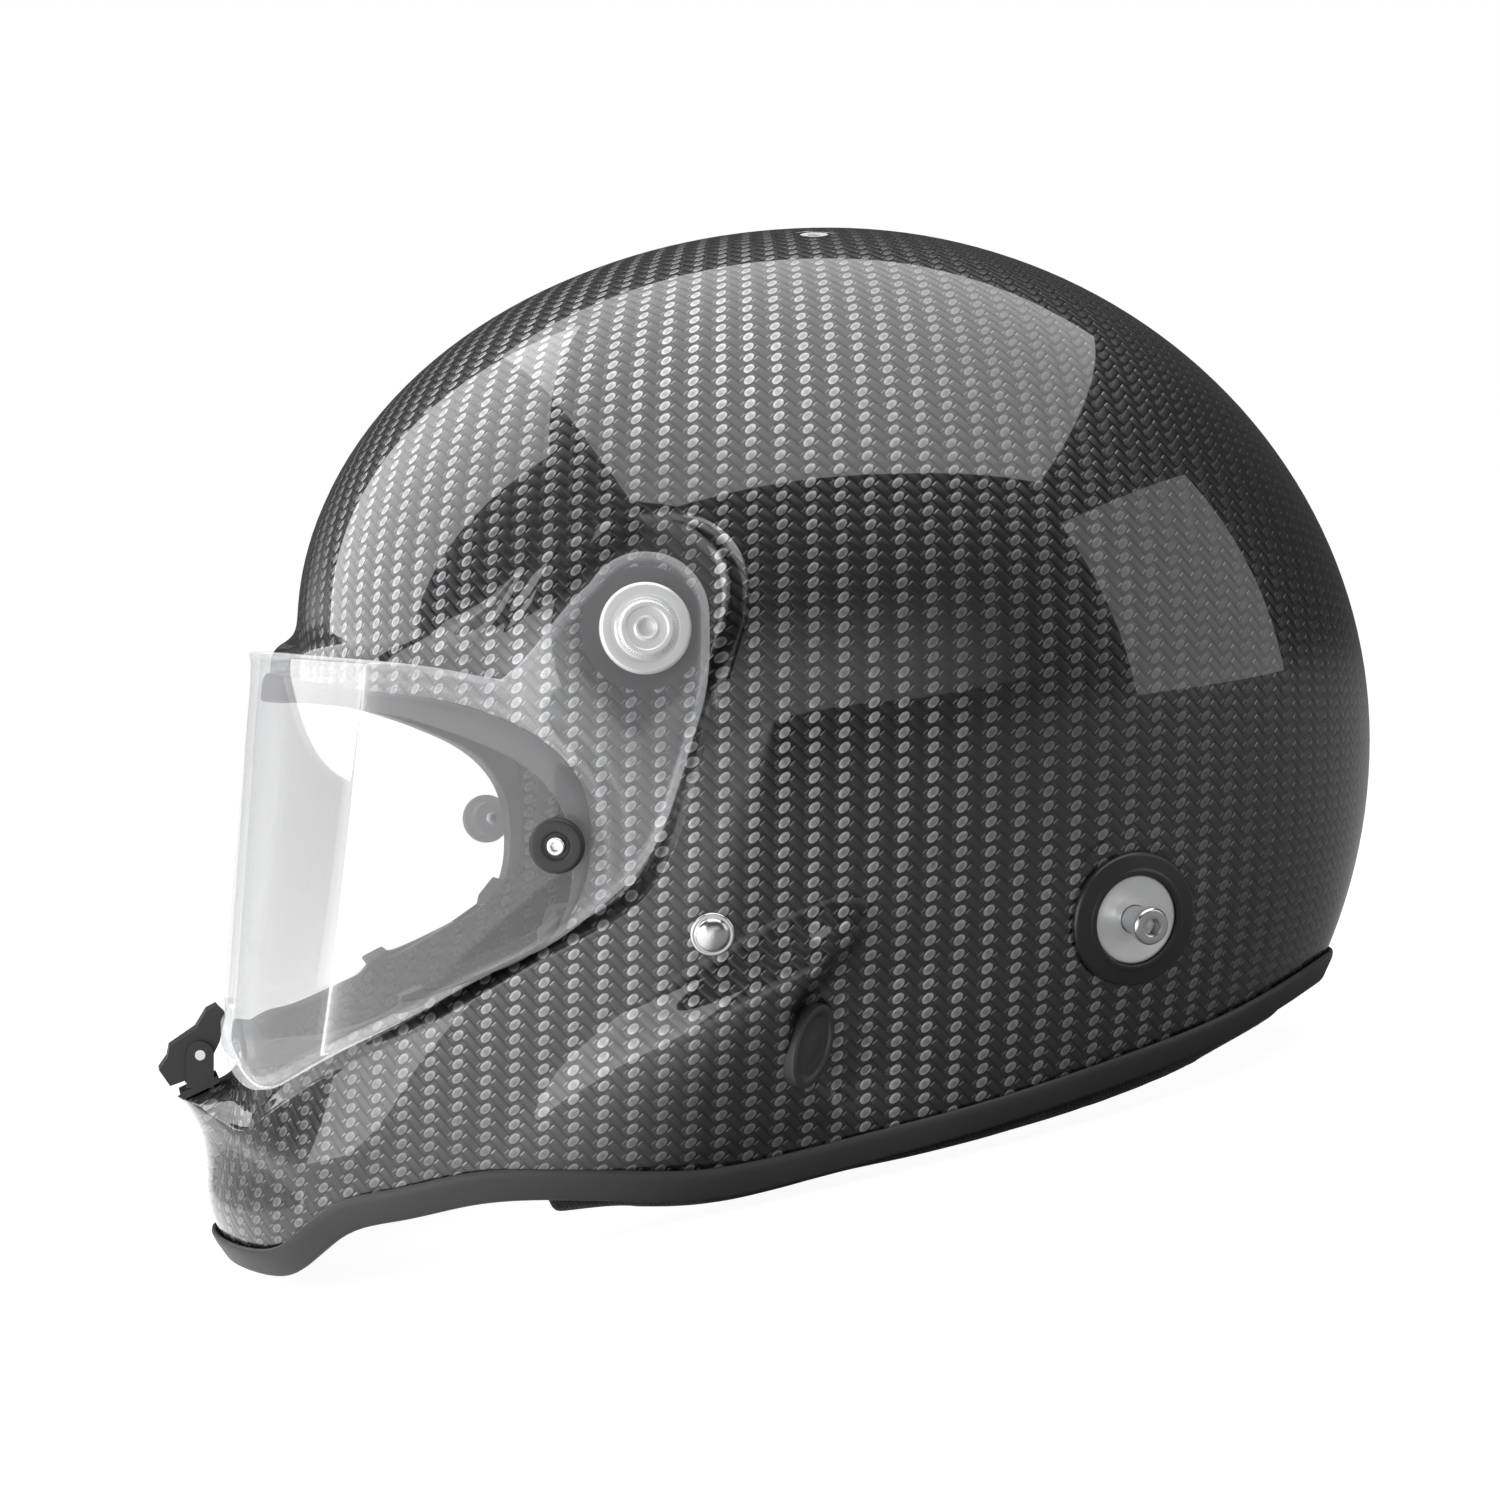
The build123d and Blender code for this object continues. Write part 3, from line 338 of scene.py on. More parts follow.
stations = spread_shares(station_count, lambda s: (
    1.0 + 5.0 * (np.exp(-s / 0.03) + np.exp(-(1 - s) / 0.03))
    + 1.5 * np.exp(-((s - fairing_station) / 0.1) ** 2)))
rows = spread_shares(outer_count, lambda r: 1.0 + 5.0 * np.exp(-r / 0.02) + 1.5 * np.exp(-(1 - r) / 0.02))


def bevel_push(station):
    """Extra width of the recess's bevel: most at its upper corner, none at the mid-plane."""
    corner = np.exp(-((station - corner_station) / 0.07) ** 2)
    return window(station, 0.06, 0.2, 0.85, 0.97) * (bevel_width + corner_width * corner)


def side_rows():
    """Side-view places of the floor, the wall and the outer face, row by row."""
    crest, floor, port, neck = (
        curve(points, stations) for points in (crest_points, floor_points, port_points, neck_points))
    inward = (floor - crest) / np.linalg.norm(floor - crest, axis=1, keepdims=True)
    floor = floor + inward * bevel_push(stations)[:, None]
    places = [port * (1 - mix) + floor * mix for mix in np.linspace(0.0, 1.0, floor_count)]
    places += [floor * (1 - mix) + crest * mix for mix in wall_mixes]
    crown = curve(crown_points, rows)
    chin_level = crest_stop[1] + (neck_stop[1] - crest_stop[1]) * rows
    chin = np.stack([shell_front(chin_level), chin_level], 1)
    crown_weight = (np.maximum(0.0, 1.0 - stations / 0.65) ** 1.4)[:, None]
    chin_weight = (stations ** 3)[:, None]
    for row, at_crown, at_chin in zip(rows, crown, chin):
        flat = crest * (1 - row) + neck * row
        places.append(flat + (at_crown - flat[0]) * crown_weight + (at_chin - flat[-1]) * chin_weight)
    return np.array(places)


def nose_push(y, z):
    """Forward push that draws the chin bar out into its nose, greatest along the crest."""
    across = np.maximum(0.0, 1.0 - (y / nose_half) ** 2) ** 2
    fade = np.exp(-np.maximum(0.0, nose_z - z) / nose_fall)
    return nose_reach * across * fade * smooth_step(nose_low - z, -5.0, 5.0)


def left_shell():
    """Left half of the floor, wall and outer face as points."""
    places = side_rows()
    x, z = places[..., 0], places[..., 1]
    is_outer = (np.arange(len(places)) >= crest_row)[:, None]
    y = np.where(is_outer, shell_side(x, z), visor_side(x, z, floor_inset))
    y[:, 0] = y[:, -1] = 0.0
    points = np.stack([x, -y, z], -1)
    points[crest_row:, :, 0] -= nose_push(y[crest_row:], z[crest_row:])
    for end in (0, -1):
        points[:floor_count, end, 0] = recess(z[:floor_count, end])
    for row, mix in enumerate(wall_mixes, floor_count):
        points[row] = points[floor_count - 1] * (1 - mix) + points[crest_row] * mix
    return points


def eased_rows(points, centre, width, passes):
    """Rows near an edge averaged with their neighbours, which rounds the edge."""
    out = points.copy()
    low, high = centre - width, centre + width + 1
    for _ in range(passes):
        out[low:high] = (out[low - 1:high - 1] + 2 * out[low:high] + out[low + 1:high + 1]) / 4
    return out


def whole_loop(left):
    """Rows closed round the mid-plane with the mirror image of the left half."""
    return np.concatenate([left, opposite(left[:, -2:0:-1])], 1)


def loop_normals(points):
    """Outward unit normals of rows of closed loops."""
    along = np.roll(points, -1, 1) - np.roll(points, 1, 1)
    across = np.gradient(points, axis=0)
    normal = np.cross(along, across)
    return normal / np.maximum(1e-9, np.linalg.norm(normal, axis=-1, keepdims=True))


plain = left_shell()
soft = eased_rows(eased_rows(plain, crest_row, 5, 16), floor_count - 1, 3, 6)
ridge_share = window(stations, 0.15, 0.24, 0.9, 0.96)[None, :, None]
left = soft + (eased_rows(plain, crest_row, 1, 2) - soft) * ridge_share
left = eased_rows(left, floor_count - 1, 2, 3)
outer_skin = whole_loop(left)
skin_normals = loop_normals(outer_skin)
if np.mean(skin_normals[crest_row + 40:, 10:station_count - 10, 1]) > 0:
    skin_normals = -skin_normals
print("shell grid", outer_skin.shape)

# %% Relief of the shell
fairing_line = np.array([(-100.0, -128.0), (-77.6, -108.8), (-67.4, -94.3), (-51.7, -81.4),
                         (-30.5, -68.8), (-9.2, -56.4), (6.0, -50.0)])
lip_line = np.array([(12.0, -44.0), (6.0, -51.0), (-3.7, -61.9), (-7.8, -68.7), (-6.4, -79.6),
                     (0.3, -91.5), (6.0, -99.0), (10.0, -106.0)])
shelf_line = np.array([(-62.0, -117.0), (-20.0, -108.0), (3.0, -100.0), (17.7, -101.0), (44.0, -101.0),
                       (66.0, -93.0)])
crease_line = np.array([(-165.0, -103.0), (-136.7, -114.6), (-122.0, -111.5), (-104.0, -97.0)])
anchor_worn = np.array([91.4, -45.0])
fairing_rise, scoop_depth, tuck_depth, crease_rise, boss_rise, well_depth = 8.0, 3.0, 2.6, 1.6, 1.2, 3.2


def relief(x, z):
    """Height over the plain shell: fairing, scoop behind it, tuck below both, nose crease and boss."""
    below = np.interp(x, *fairing_line.T) - z
    past_lip = x - np.interp(-z, -lip_line[:, 1], lip_line[:, 0])
    fairing = fairing_rise * smooth_step(x, -110.0, 8.0) * smooth_step(below, -13.0, 5.0)
    fairing *= (1.0 - 0.8 * smooth_step(below, 8.0, 50.0)) * (1.0 - smooth_step(past_lip, -1.0, 9.0))
    scoop = scoop_depth * window(past_lip, 0.0, 10.0, 14.0, 56.0) * window(z, -106.0, -90.0, -70.0, -46.0)
    below_shelf = np.interp(x, *shelf_line.T) - z
    tuck = tuck_depth * smooth_step(below_shelf, -3.0, 9.0) * window(x, -110.0, -50.0, 46.0, 86.0)
    above_crease = z - np.interp(x, *crease_line.T)
    crease = crease_rise * np.exp(-(above_crease / np.where(above_crease > 0, 14.0, 6.0)) ** 2)
    crease *= window(x, -172.0, -150.0, -128.0, -104.0)
    from_anchor = np.hypot(x - anchor_worn[0], z - anchor_worn[1])
    boss = boss_rise * (1.0 - smooth_step(from_anchor, 20.5, 26.0))
    well = well_depth * (1.0 - smooth_step(from_anchor, 14.0, 18.5))
    return fairing - scoop - tuck + crease + boss - well


outer_x, outer_z = outer_skin[crest_row:, :, 0], outer_skin[crest_row:, :, 2]
from_crest = np.arange(outer_count)[:, None]
edge_fade = smooth_step(from_crest, 3.0, 12.0) * (1.0 - smooth_step(rows[:, None], 0.86, 0.99))
raised = outer_skin.copy()
raised[crest_row:] += skin_normals[crest_row:] * (relief(outer_x, outer_z) * edge_fade)[..., None]

# %% [markdown]
# ### A map for the cloth
# Twill cloth draped on a dome keeps its threads' lengths, so its pattern has to follow distance
# along the surface and not a flat projection. Each point gets the direction in which it lies from
# a pole on the shell's side and the length of the surface path to it. Distortion stays small over
# the whole side and grows only near the mid-plane, where the two halves meet as mirror images.

# %% Weave map
weave_pole = np.array([30.0, 10.0])
path_steps = 24


def weave_map(points):
    """Cloth coordinates in millimetres: direction from the pole, times the surface path's length."""
    away = points[..., [0, 2]] - weave_pole
    shares = np.sin(np.linspace(0.0, np.pi / 2, path_steps))
    x = weave_pole[0] + away[..., 0, None] * shares
    z = weave_pole[1] + away[..., 1, None] * shares
    y = shell_side(x, z)
    steps = np.sqrt(np.diff(x) ** 2 + np.diff(y) ** 2 + np.diff(z) ** 2)
    flat = np.maximum(1e-6, np.linalg.norm(away, axis=-1))
    return away * (steps.sum(-1) / flat)[..., None]


inner_rows = np.arange(len(raised) - 1, -1, -inner_step)
inner_skin = (outer_skin - skin_normals * shell_wall)[inner_rows]
shell_points = np.concatenate([raised, inner_skin])
shell_weave = np.concatenate([weave_map(raised), weave_map(inner_skin)])
shell_piece = mesh_object(
    "carbon_shell", settled(shell_points),
    grid_faces(len(shell_points), shell_points.shape[1], True, True), shell_weave)
print("shell faces", len(shell_piece.data.polygons))

# %% [markdown]
# ## Shader sums
# Materials are written as Python expressions. A small class wraps a socket of the node tree, and
# each operator on it adds one Math node. Numbers that meet no socket stay ordinary numbers, so
# nothing is computed in nodes that Python can compute once.

# %% Node helpers
class Flow:
    """A socket that takes part in sums: each operator adds one Math node to the same tree."""

    def __init__(self, tree, socket):
        self.tree, self.socket = tree, socket

    def math(self, operation, *values):
        return add_node(self.tree, "ShaderNodeMath", {"operation": operation}, dict(enumerate(values)))

    def __add__(self, other):
        return self.math("ADD", self, other)

    def __sub__(self, other):
        return self.math("SUBTRACT", self, other)

    def __rsub__(self, other):
        return self.math("SUBTRACT", other, self)

    def __mul__(self, other):
        return self.math("MULTIPLY", self, other)

    def __truediv__(self, other):
        return self.math("DIVIDE", self, other)

    def __mod__(self, other):
        return self.math("FLOORED_MODULO", self, other)

    def __pow__(self, other):
        return self.math("POWER", self, other)

    def __lt__(self, other):
        return self.math("LESS_THAN", self, other)

    def __abs__(self):
        return self.math("ABSOLUTE", self)

    def floor(self):
        return self.math("FLOOR", self)

    def sine(self):
        return self.math("SINE", self)

    __radd__, __rmul__ = __add__, __mul__


def add_node(tree, kind, settings=None, inputs=None, output=0):
    """Adds a node of this kind: its settings first, then the value or link of each socket."""
    node = tree.nodes.new(kind)
    for name, value in (settings or {}).items():
        if name == "stops":
            ramp = node.color_ramp
            while len(ramp.elements) < len(value):
                ramp.elements.new(0.5)
            for element, (place, colour) in zip(ramp.elements, value):
                element.position, element.color = place, (*colour, 1.0)
        else:
            setattr(node, name, value)
    for key, value in (inputs or {}).items():
        if isinstance(value, Flow):
            tree.links.new(value.socket, node.inputs[key])
        else:
            node.inputs[key].default_value = value
    return Flow(tree, node.outputs[output]) if len(node.outputs) else None


def parts_of(vector):
    """The three numbers of a vector socket."""
    node = vector.tree.nodes.new("ShaderNodeSeparateXYZ")
    vector.tree.links.new(vector.socket, node.inputs[0])
    return [Flow(vector.tree, output) for output in node.outputs]


def object_place(tree):
    """Object coordinates, which lie in the frame because every piece sits at the origin."""
    return add_node(tree, "ShaderNodeTexCoord", output="Object")


def noise(tree, place, scale, detail=2.0, roughness=0.5):
    """Smooth noise from 0 to 1 at so many features a metre."""
    return add_node(tree, "ShaderNodeTexNoise", {}, {
        "Vector": place, "Scale": scale, "Detail": detail, "Roughness": roughness})


def between(value, low, high):
    """Rises in a straight line from 0 to 1 between two limits."""
    return add_node(value.tree, "ShaderNodeMapRange", {"clamp": True}, {
        "Value": value, "From Min": low, "From Max": high})


def tint(share, first, second):
    """Colour between two colours by a share from 0 to 1."""
    return add_node(share.tree, "ShaderNodeMix", {"data_type": "RGBA"}, {
        0: share, 6: (*first, 1.0), 7: (*second, 1.0)}, output=2)


def bump(height, distance, strength=1.0):
    """Normal that follows a height from 0 to 1, over this many millimetres."""
    return add_node(height.tree, "ShaderNodeBump", {}, {
        "Height": height, "Distance": distance * millimetre, "Strength": strength})


def emptied(owner):
    """Node tree of a material or a world, without the nodes that it came with."""
    owner.use_nodes = True
    owner.node_tree.nodes.clear()
    return owner.node_tree


def finish_of(name, varied, **fixed):
    """Material of one Principled shader: fixed values on its sockets, and varied ones linked to it."""
    material = bpy.data.materials.new(name)
    tree = emptied(material)
    values = {key.replace("_", " "): value for key, value in fixed.items()}
    values.update(varied(tree))
    shader = add_node(tree, "ShaderNodeBsdfPrincipled", {}, values)
    add_node(tree, "ShaderNodeOutputMaterial", {}, {"Surface": shader})
    return material

# %% [markdown]
# ## Carbon twill
# The shell's cloth is a two by two twill of flat tows 2.9 mm wide, laid at 45 degrees, so its
# steps line up in vertical columns. Each tow passes over two others and under two. The pattern
# says which of the two tows is on top, how far along its float a place is, and how far across it.
# Fibres shine like dark metal under a clear coat. The beads on the crowned floats are painted
# highlights in the base colour, on one tow direction only and brightest in a painted pool of light
# on the side and towards the front, with painted glints at the ends of the other floats.

# %% Carbon finish
tow, coat_index = 2.9, 1.62
# Size of the oval on each float where a painted bead highlight sits.
painted_bead_width, painted_bead_length = 0.88, 0.7
# The dark colour is the cloth's own; the light one is the colour of the painted highlights.
cloth_dark, painted_highlight_colour = (0.003, 0.003, 0.0035), (0.62, 0.63, 0.65)
# Middle, half width and lean of a painted pool of light down the side, placed by position and not by the lamps.
painted_pool_middle, painted_pool_half, painted_pool_lean = 0.012, 0.13, 0.15


def twill(tree):
    """Base colour with painted highlights, roughness and bump of a two by two twill in the weave map's
    millimetres.
    """
    u, v, _ = parts_of(add_node(tree, "ShaderNodeUVMap", {"uv_map": "weave"}))
    a = (u + v) / (tow * 2 ** 0.5)
    b = (u - v) / (tow * 2 ** 0.5)
    i, j = a.floor(), b.floor()
    warp = ((i + j) % 4.0) < 2.0
    along_warp = ((a + j) % 4.0) / 2.0
    along_weft = ((b + i) % 4.0) / 2.0 - 1.0
    along = along_weft + warp * (along_warp - along_weft)
    across_weft, across_warp = a - i, b - j
    across = across_weft + warp * (across_warp - across_weft)
    from_middle = abs(across * 2.0 - 1.0)
    from_centre = abs(along * 2.0 - 1.0)
    crown = 1.0 - from_middle ** 3.0
    height = crown * 0.5 + (1.0 - from_centre ** 2.0) * 0.5
    # Oval ring at the middle of each float: the shape of the painted bead highlight.
    inside = 1.0 - (from_middle / painted_bead_width) ** 2.0 - (from_centre / painted_bead_length) ** 2.0
    bead = between(inside, 0.0, 0.3) - between(inside, 0.4, 0.95) * 0.5
    fibre = add_node(tree, "ShaderNodeCombineXYZ", {}, {
        "X": across * 9.0 + j * 3.1 * warp + i * 2.3, "Y": along * 1.2, "Z": i * 0.7 + j * 1.9})
    streak = noise(tree, fibre, 1.6, 3.0)
    place = object_place(tree)
    patch = noise(tree, place, 14.0, 2.0)
    x, _, z = parts_of(place)
    # Painted pool of light: the highlights are brighter in a band down the side and towards the front.
    painted_side_pool = between(1.0 - abs(x - painted_pool_middle + z * painted_pool_lean) / painted_pool_half, 0.0, 0.75)
    painted_light_pool = painted_side_pool + between(x * -1.0, 0.07, 0.13) * 0.35
    # Painted glints at the ends of the floats that run the other way.
    end = between(from_centre, 0.8, 0.95) * between(1.0 - from_middle, 0.25, 0.6)
    # Painted highlights: beads on one tow direction only, scaled by the painted pool, plus the end glints and a
    # faint painted sheen on every crown.
    painted_bead_highlight = warp * bead * (streak * 1.7 - 0.1) * (0.05 + painted_light_pool * (0.4 + 0.6 * between(patch, 0.3, 0.6)))
    painted_highlights = painted_bead_highlight + (1.0 - warp) * end * 0.3 + crown * 0.05
    return {
        "Base Color": tint(painted_highlights, cloth_dark, painted_highlight_colour),
        "Roughness": 0.3 + streak * 0.16,
        "Normal": bump(height, 0.5),
    }


carbon = finish_of(
    "carbon_twill", twill, Metallic=0.7, Coat_Weight=1.0, Coat_Roughness=0.02, Coat_IOR=coat_index)


# %% Rubber, plastic, cloth and metals
def moulded(dark, light, low, span, patches, grain):
    """Mould skin: patches of colour and shine over a fine grain, both noises of a scale and a detail."""
    def values(tree):
        place = object_place(tree)
        patch = noise(tree, place, *patches)
        return {
            "Base Color": tint(patch, dark, light),
            "Roughness": low + patch * span,
            "Normal": bump(noise(tree, place, *grain), 0.03),
        }
    return values


def knit(tree):
    """Brushed knit: small loops in rows, softened by nap, with painted shade in the hollows between loops."""
    place = object_place(tree)
    x, y, z = parts_of(place)
    turn = 2 * np.pi / (1.5 * millimetre)
    rows_of_loops, wales = ((x + z * 0.3) * turn).sine(), ((y + z * 0.6) * turn).sine()
    nap = noise(tree, place, 900.0, 4.0, 0.7)
    height = rows_of_loops * wales * 0.25 + nap
    return {
        # Base colour follows the height: painted shade in the hollows between the loops, and random tone from the
        # nap.
        "Base Color": tint(between(height, 0.1, 0.9), (0.006, 0.006, 0.007), (0.03, 0.03, 0.032)),
        "Roughness": 0.88 + nap * 0.1,
        "Normal": bump(height, 0.35),
    }


def webbing_weave(tree):
    """Woven webbing: ribs across the band and fine diagonal threads, in its own map's millimetres, with painted
    light on the raised parts and painted shade in the grooves.
    """
    u, v, _ = parts_of(add_node(tree, "ShaderNodeUVMap", {"uv_map": "weave"}))
    rib, thread = (v * (np.pi / 0.9)).sine(), ((u + v) * (np.pi / 0.55)).sine()
    height = abs(rib) * 0.7 + abs(thread) * 0.3
    return {
        # Base colour follows the height: raised ribs and threads get painted light, grooves painted shade.
        "Base Color": tint(height, (0.008, 0.008, 0.009), (0.035, 0.035, 0.037)),
        "Roughness": 0.62 + height * 0.2,
        "Normal": bump(height, 0.3),
    }


def beads(tree):
    """Moulded bead foam: packed rounded cells with fine dark joints."""
    place = object_place(tree)
    cell = add_node(tree, "ShaderNodeTexVoronoi", {"feature": "DISTANCE_TO_EDGE"}, {
        "Vector": place, "Scale": 330.0}, output="Distance")
    body = between(cell, 0.0, 0.12)
    patch = noise(tree, place, 40.0, 3.0)
    return {
        "Base Color": tint(body * (0.6 + 0.4 * patch), (0.05, 0.05, 0.052), (0.17, 0.17, 0.175)),
        "Roughness": 0.75 + patch * 0.15,
        "Normal": bump(body, 0.25),
    }


def turned_metal(dark, light, low, high):
    """Metal with a slight cloudiness and hairline scratches, from a low to a high roughness."""
    def values(tree):
        place = object_place(tree)
        cloud = noise(tree, place, 90.0, 3.0)
        hairs = noise(tree, place, 2200.0, 3.0, 0.6)
        return {
            "Base Color": tint(cloud, dark, light),
            "Roughness": low + (high - low) * hairs,
            "Normal": bump(hairs, 0.012),
        }
    return values


rubber = finish_of("satin_rubber", moulded(
    (0.028, 0.028, 0.03), (0.05, 0.05, 0.053), 0.42, 0.14, (34.0, 4.0), (1800.0, 2.0)))
nylon = finish_of("moulded_nylon", moulded(
    (0.018, 0.018, 0.019), (0.032, 0.032, 0.034), 0.36, 0.16, (60.0, 3.0), (2600.0, 2.0)))
fabric = finish_of("brushed_knit", knit, Sheen_Weight=0.25, Sheen_Roughness=0.5)
webbing = finish_of("woven_webbing", webbing_weave, Sheen_Weight=0.15)
foam = finish_of("bead_foam", beads)
aluminium = finish_of("satin_aluminium", turned_metal(
    (0.8, 0.805, 0.81), (0.9, 0.905, 0.91), 0.28, 0.46), Metallic=0.4)
anodised = finish_of("black_anodised", turned_metal(
    (0.012, 0.012, 0.013), (0.022, 0.022, 0.024), 0.3, 0.42), Metallic=0.0, Coat_Weight=0.2)
steel = finish_of("bright_steel", turned_metal(
    (0.6, 0.605, 0.615), (0.74, 0.745, 0.755), 0.12, 0.3), Metallic=1.0)
oxide = finish_of("dark_steel", turned_metal(
    (0.05, 0.05, 0.053), (0.09, 0.09, 0.094), 0.3, 0.45), Metallic=1.0)

# %% [markdown]
# ## Clear sheet
# A racing visor passes nearly all the light behind it and lays a pale veil over what is dark. The
# veil is a thin share of a pale surface that glows by itself, a painted light, and it is denser at a
# glancing angle, a painted reflection. The shine on top of it comes from a Fresnel factor, which is
# small face on and strong at a glancing angle. Two low steps follow the eyeport, and the glowing
# veil is denser on them and along the border.

# %% Visor finish
visor_steps, step_half = (6.6, 12.1), 0.6


def clear_sheet():
    """Material of a clear sheet: a faint pale body that glows with painted light, mixed with a mirror by Fresnel.
    """
    material = bpy.data.materials.new("clear_sheet")
    tree = emptied(material)
    haze = noise(tree, object_place(tree), 14.0, 3.0)
    from_port, from_border, _ = parts_of(add_node(tree, "ShaderNodeUVMap", {"uv_map": "weave"}))
    near, far = (between(1.3 - abs(from_port - step), 0.0, 1.0) for step in visor_steps)
    edging = between(2.6 - from_border, 0.0, 1.2)
    rim = add_node(tree, "ShaderNodeLayerWeight", {}, {"Blend": 0.5}, output="Facing")
    # The body's emission is painted light: the pale veil glows by itself, more where it is denser at a glancing
    # angle, on the steps and along the border.
    body = add_node(tree, "ShaderNodeBsdfPrincipled", {}, {
        "Base Color": (0.8, 0.81, 0.83, 1.0), "Roughness": 0.25, "Specular IOR Level": 0.0,
        "Alpha": 0.045 + haze * 0.02 + rim ** 4.0 * 0.14 + (near + far) * 0.035 + edging * 0.07,
        "Emission Color": (0.9, 0.91, 0.93, 1.0), "Emission Strength": 0.55})
    mirror = add_node(tree, "ShaderNodeBsdfPrincipled", {}, {
        "Base Color": (1.0, 1.0, 1.0, 1.0), "Metallic": 1.0, "Roughness": 0.03})
    glance = add_node(tree, "ShaderNodeFresnel", {}, {"IOR": 1.5})
    mixed = add_node(tree, "ShaderNodeMixShader", {}, {0: glance * 0.3, 1: body, 2: mirror})
    add_node(tree, "ShaderNodeOutputMaterial", {}, {"Surface": mixed})
    return material


finish_by_slot = {
    "carbon_shell": carbon, "clear_visor": clear_sheet(), "black_rubber": rubber, "black_fabric": fabric,
    "black_webbing": webbing, "grey_foam": foam, "satin_aluminium": aluminium, "black_anodised": anodised,
    "black_plastic": nylon, "bright_steel": steel, "dark_steel": oxide}
print("finishes", len(finish_by_slot))

# %% [markdown]
# ## Fittings in the shell
# Holes for the peak's screws go through the finished shell, and each one shows its insert. They
# are cut by a Boolean with plain plugs. A seat gives each fitting its place on a side face and the
# directions along it and out of it.

# %% Seats on the shell
helmet_body, visor_body = "helmet", "visor"
probe = 0.6


class Seat:
    """Place on the helmet's left face with two directions along it and one outward."""

    def __init__(self, x, z, side, lift=0.0):
        slope_x = (side(x + probe, z) - side(x - probe, z)) / (2 * probe)
        slope_z = (side(x, z + probe) - side(x, z - probe)) / (2 * probe)
        out = np.array([-slope_x, -1.0, -slope_z], float)
        self.out = out / np.linalg.norm(out)
        self.origin = np.array([x, -side(x, z), z], float) + self.out * lift
        along = np.array([1.0, 0.0, 0.0]) - self.out * self.out[0]
        self.along = along / np.linalg.norm(along)
        self.up = np.cross(self.out, self.along)

    def places(self, a, b, h):
        """Worn places from distances along, up and out from the seat."""
        return (self.origin + np.asarray(a)[..., None] * self.along
                + np.asarray(b)[..., None] * self.up + np.asarray(h)[..., None] * self.out)


class PivotSeat(Seat):
    """The visor's axis, with heights counted from the mid-plane."""

    def __init__(self):
        self.origin = pivot_worn.copy()
        self.out, self.along, self.up = np.array([[0.0, -1.0, 0.0], [1.0, 0.0, 0.0], [0.0, 0.0, 1.0]])


def turned_form(seat, profile, segments=96, shape=None, radius=0.5, stretch=(1.0, 1.0)):
    """Points and faces of a closed profile of radius and height, rounded and swept about the seat's axis."""
    profile = rounded_corners(profile, radius, axis=True) if radius else np.asarray(profile, float)
    turn = np.linspace(0.0, 2 * np.pi, segments, endpoint=False)[None, :]
    r, h = np.maximum(profile[:, :1], 0.0), profile[:, 1:]
    spread = r * (1.0 if shape is None else shape(turn, r, h))
    points = seat.places(spread * stretch[0] * np.cos(turn), spread * stretch[1] * np.sin(turn), h)
    return points, grid_faces(len(profile), segments, True, True)


def welded(piece):
    """Joins points that fell together, as at a pole, and drops the faces that closed up."""
    work = bmesh.new()
    work.from_mesh(piece.data)
    bmesh.ops.remove_doubles(work, verts=work.verts, dist=1e-6)
    bmesh.ops.dissolve_degenerate(work, dist=1e-7, edges=work.edges)
    work.to_mesh(piece.data)
    work.free()
    piece.data.shade_smooth()
    piece.data.set_sharp_from_angle(angle=smooth_angle)
    return piece


def both_sides(name, form, body, slot, stem, weave=None):
    """The left piece and its mirror image, each standing for the node of its own side."""
    points, faces = form
    made = []
    for side, places in (("left", points), ("right", opposite(points))):
        piece = welded(mesh_object(name + "_" + side, settled(places), faces, weave))
        made.append(finished(piece, body, slot, stem + "_" + side))
    return made


def applied(piece, kind, **settings):
    """Adds a modifier of this kind to a piece and applies it at once."""
    modifier = piece.modifiers.new(kind.lower(), kind)
    for key, value in settings.items():
        setattr(modifier, key, value)
    bpy.context.view_layer.objects.active = piece
    with bpy.context.temp_override(object=piece, active_object=piece):
        bpy.ops.object.modifier_apply(modifier=modifier.name)


def cut_out(piece, cutters):
    """Takes closed cutters away from a piece and deletes them."""
    for cutter in cutters:
        applied(piece, "BOOLEAN", object=cutter, solver="EXACT")
        bpy.data.objects.remove(cutter)


def plug_cutter(seat, radius, low, high, side):
    """Plain plug to cut a round hole with, on the left for 1 and on the right for -1."""
    points, faces = turned_form(seat, [(0.0, low), (radius, low), (radius, high), (0.0, high)], 48, radius=0.0)
    return welded(mesh_object("cutter", settled(points * np.array([1.0, side, 1.0])), faces))


peak_x, peak_y, peak_hole = 14.0, 34.0, 4.3
levels = np.linspace(crown_top, 100.0, 3000)
peak_z = levels[np.argmax(shell_side(np.full_like(levels, peak_x), levels) >= peak_y)]
peak_seat = Seat(peak_x, peak_z, shell_side)
cut_out(shell_piece, [plug_cutter(peak_seat, peak_hole, -10.0, 10.0, side) for side in (1.0, -1.0)])
finished(shell_piece, helmet_body, "carbon_shell", "outer_shell")
print("peak hole at", np.round(peak_seat.origin, 1), "shell faces", len(shell_piece.data.polygons))

# %% [markdown]
# ## Rubber on the rims
# The neck rim wears a folded rubber trim, and the eyeport a gasket that the visor closes on. Both
# are one profile carried along a rim: down both faces of the wall to a depth, and round the edge
# with a lip. At each place on the rim the profile stands on two directions: past the edge, and out
# from the surface.

# %% Trim and gasket
rim_fit = 0.3


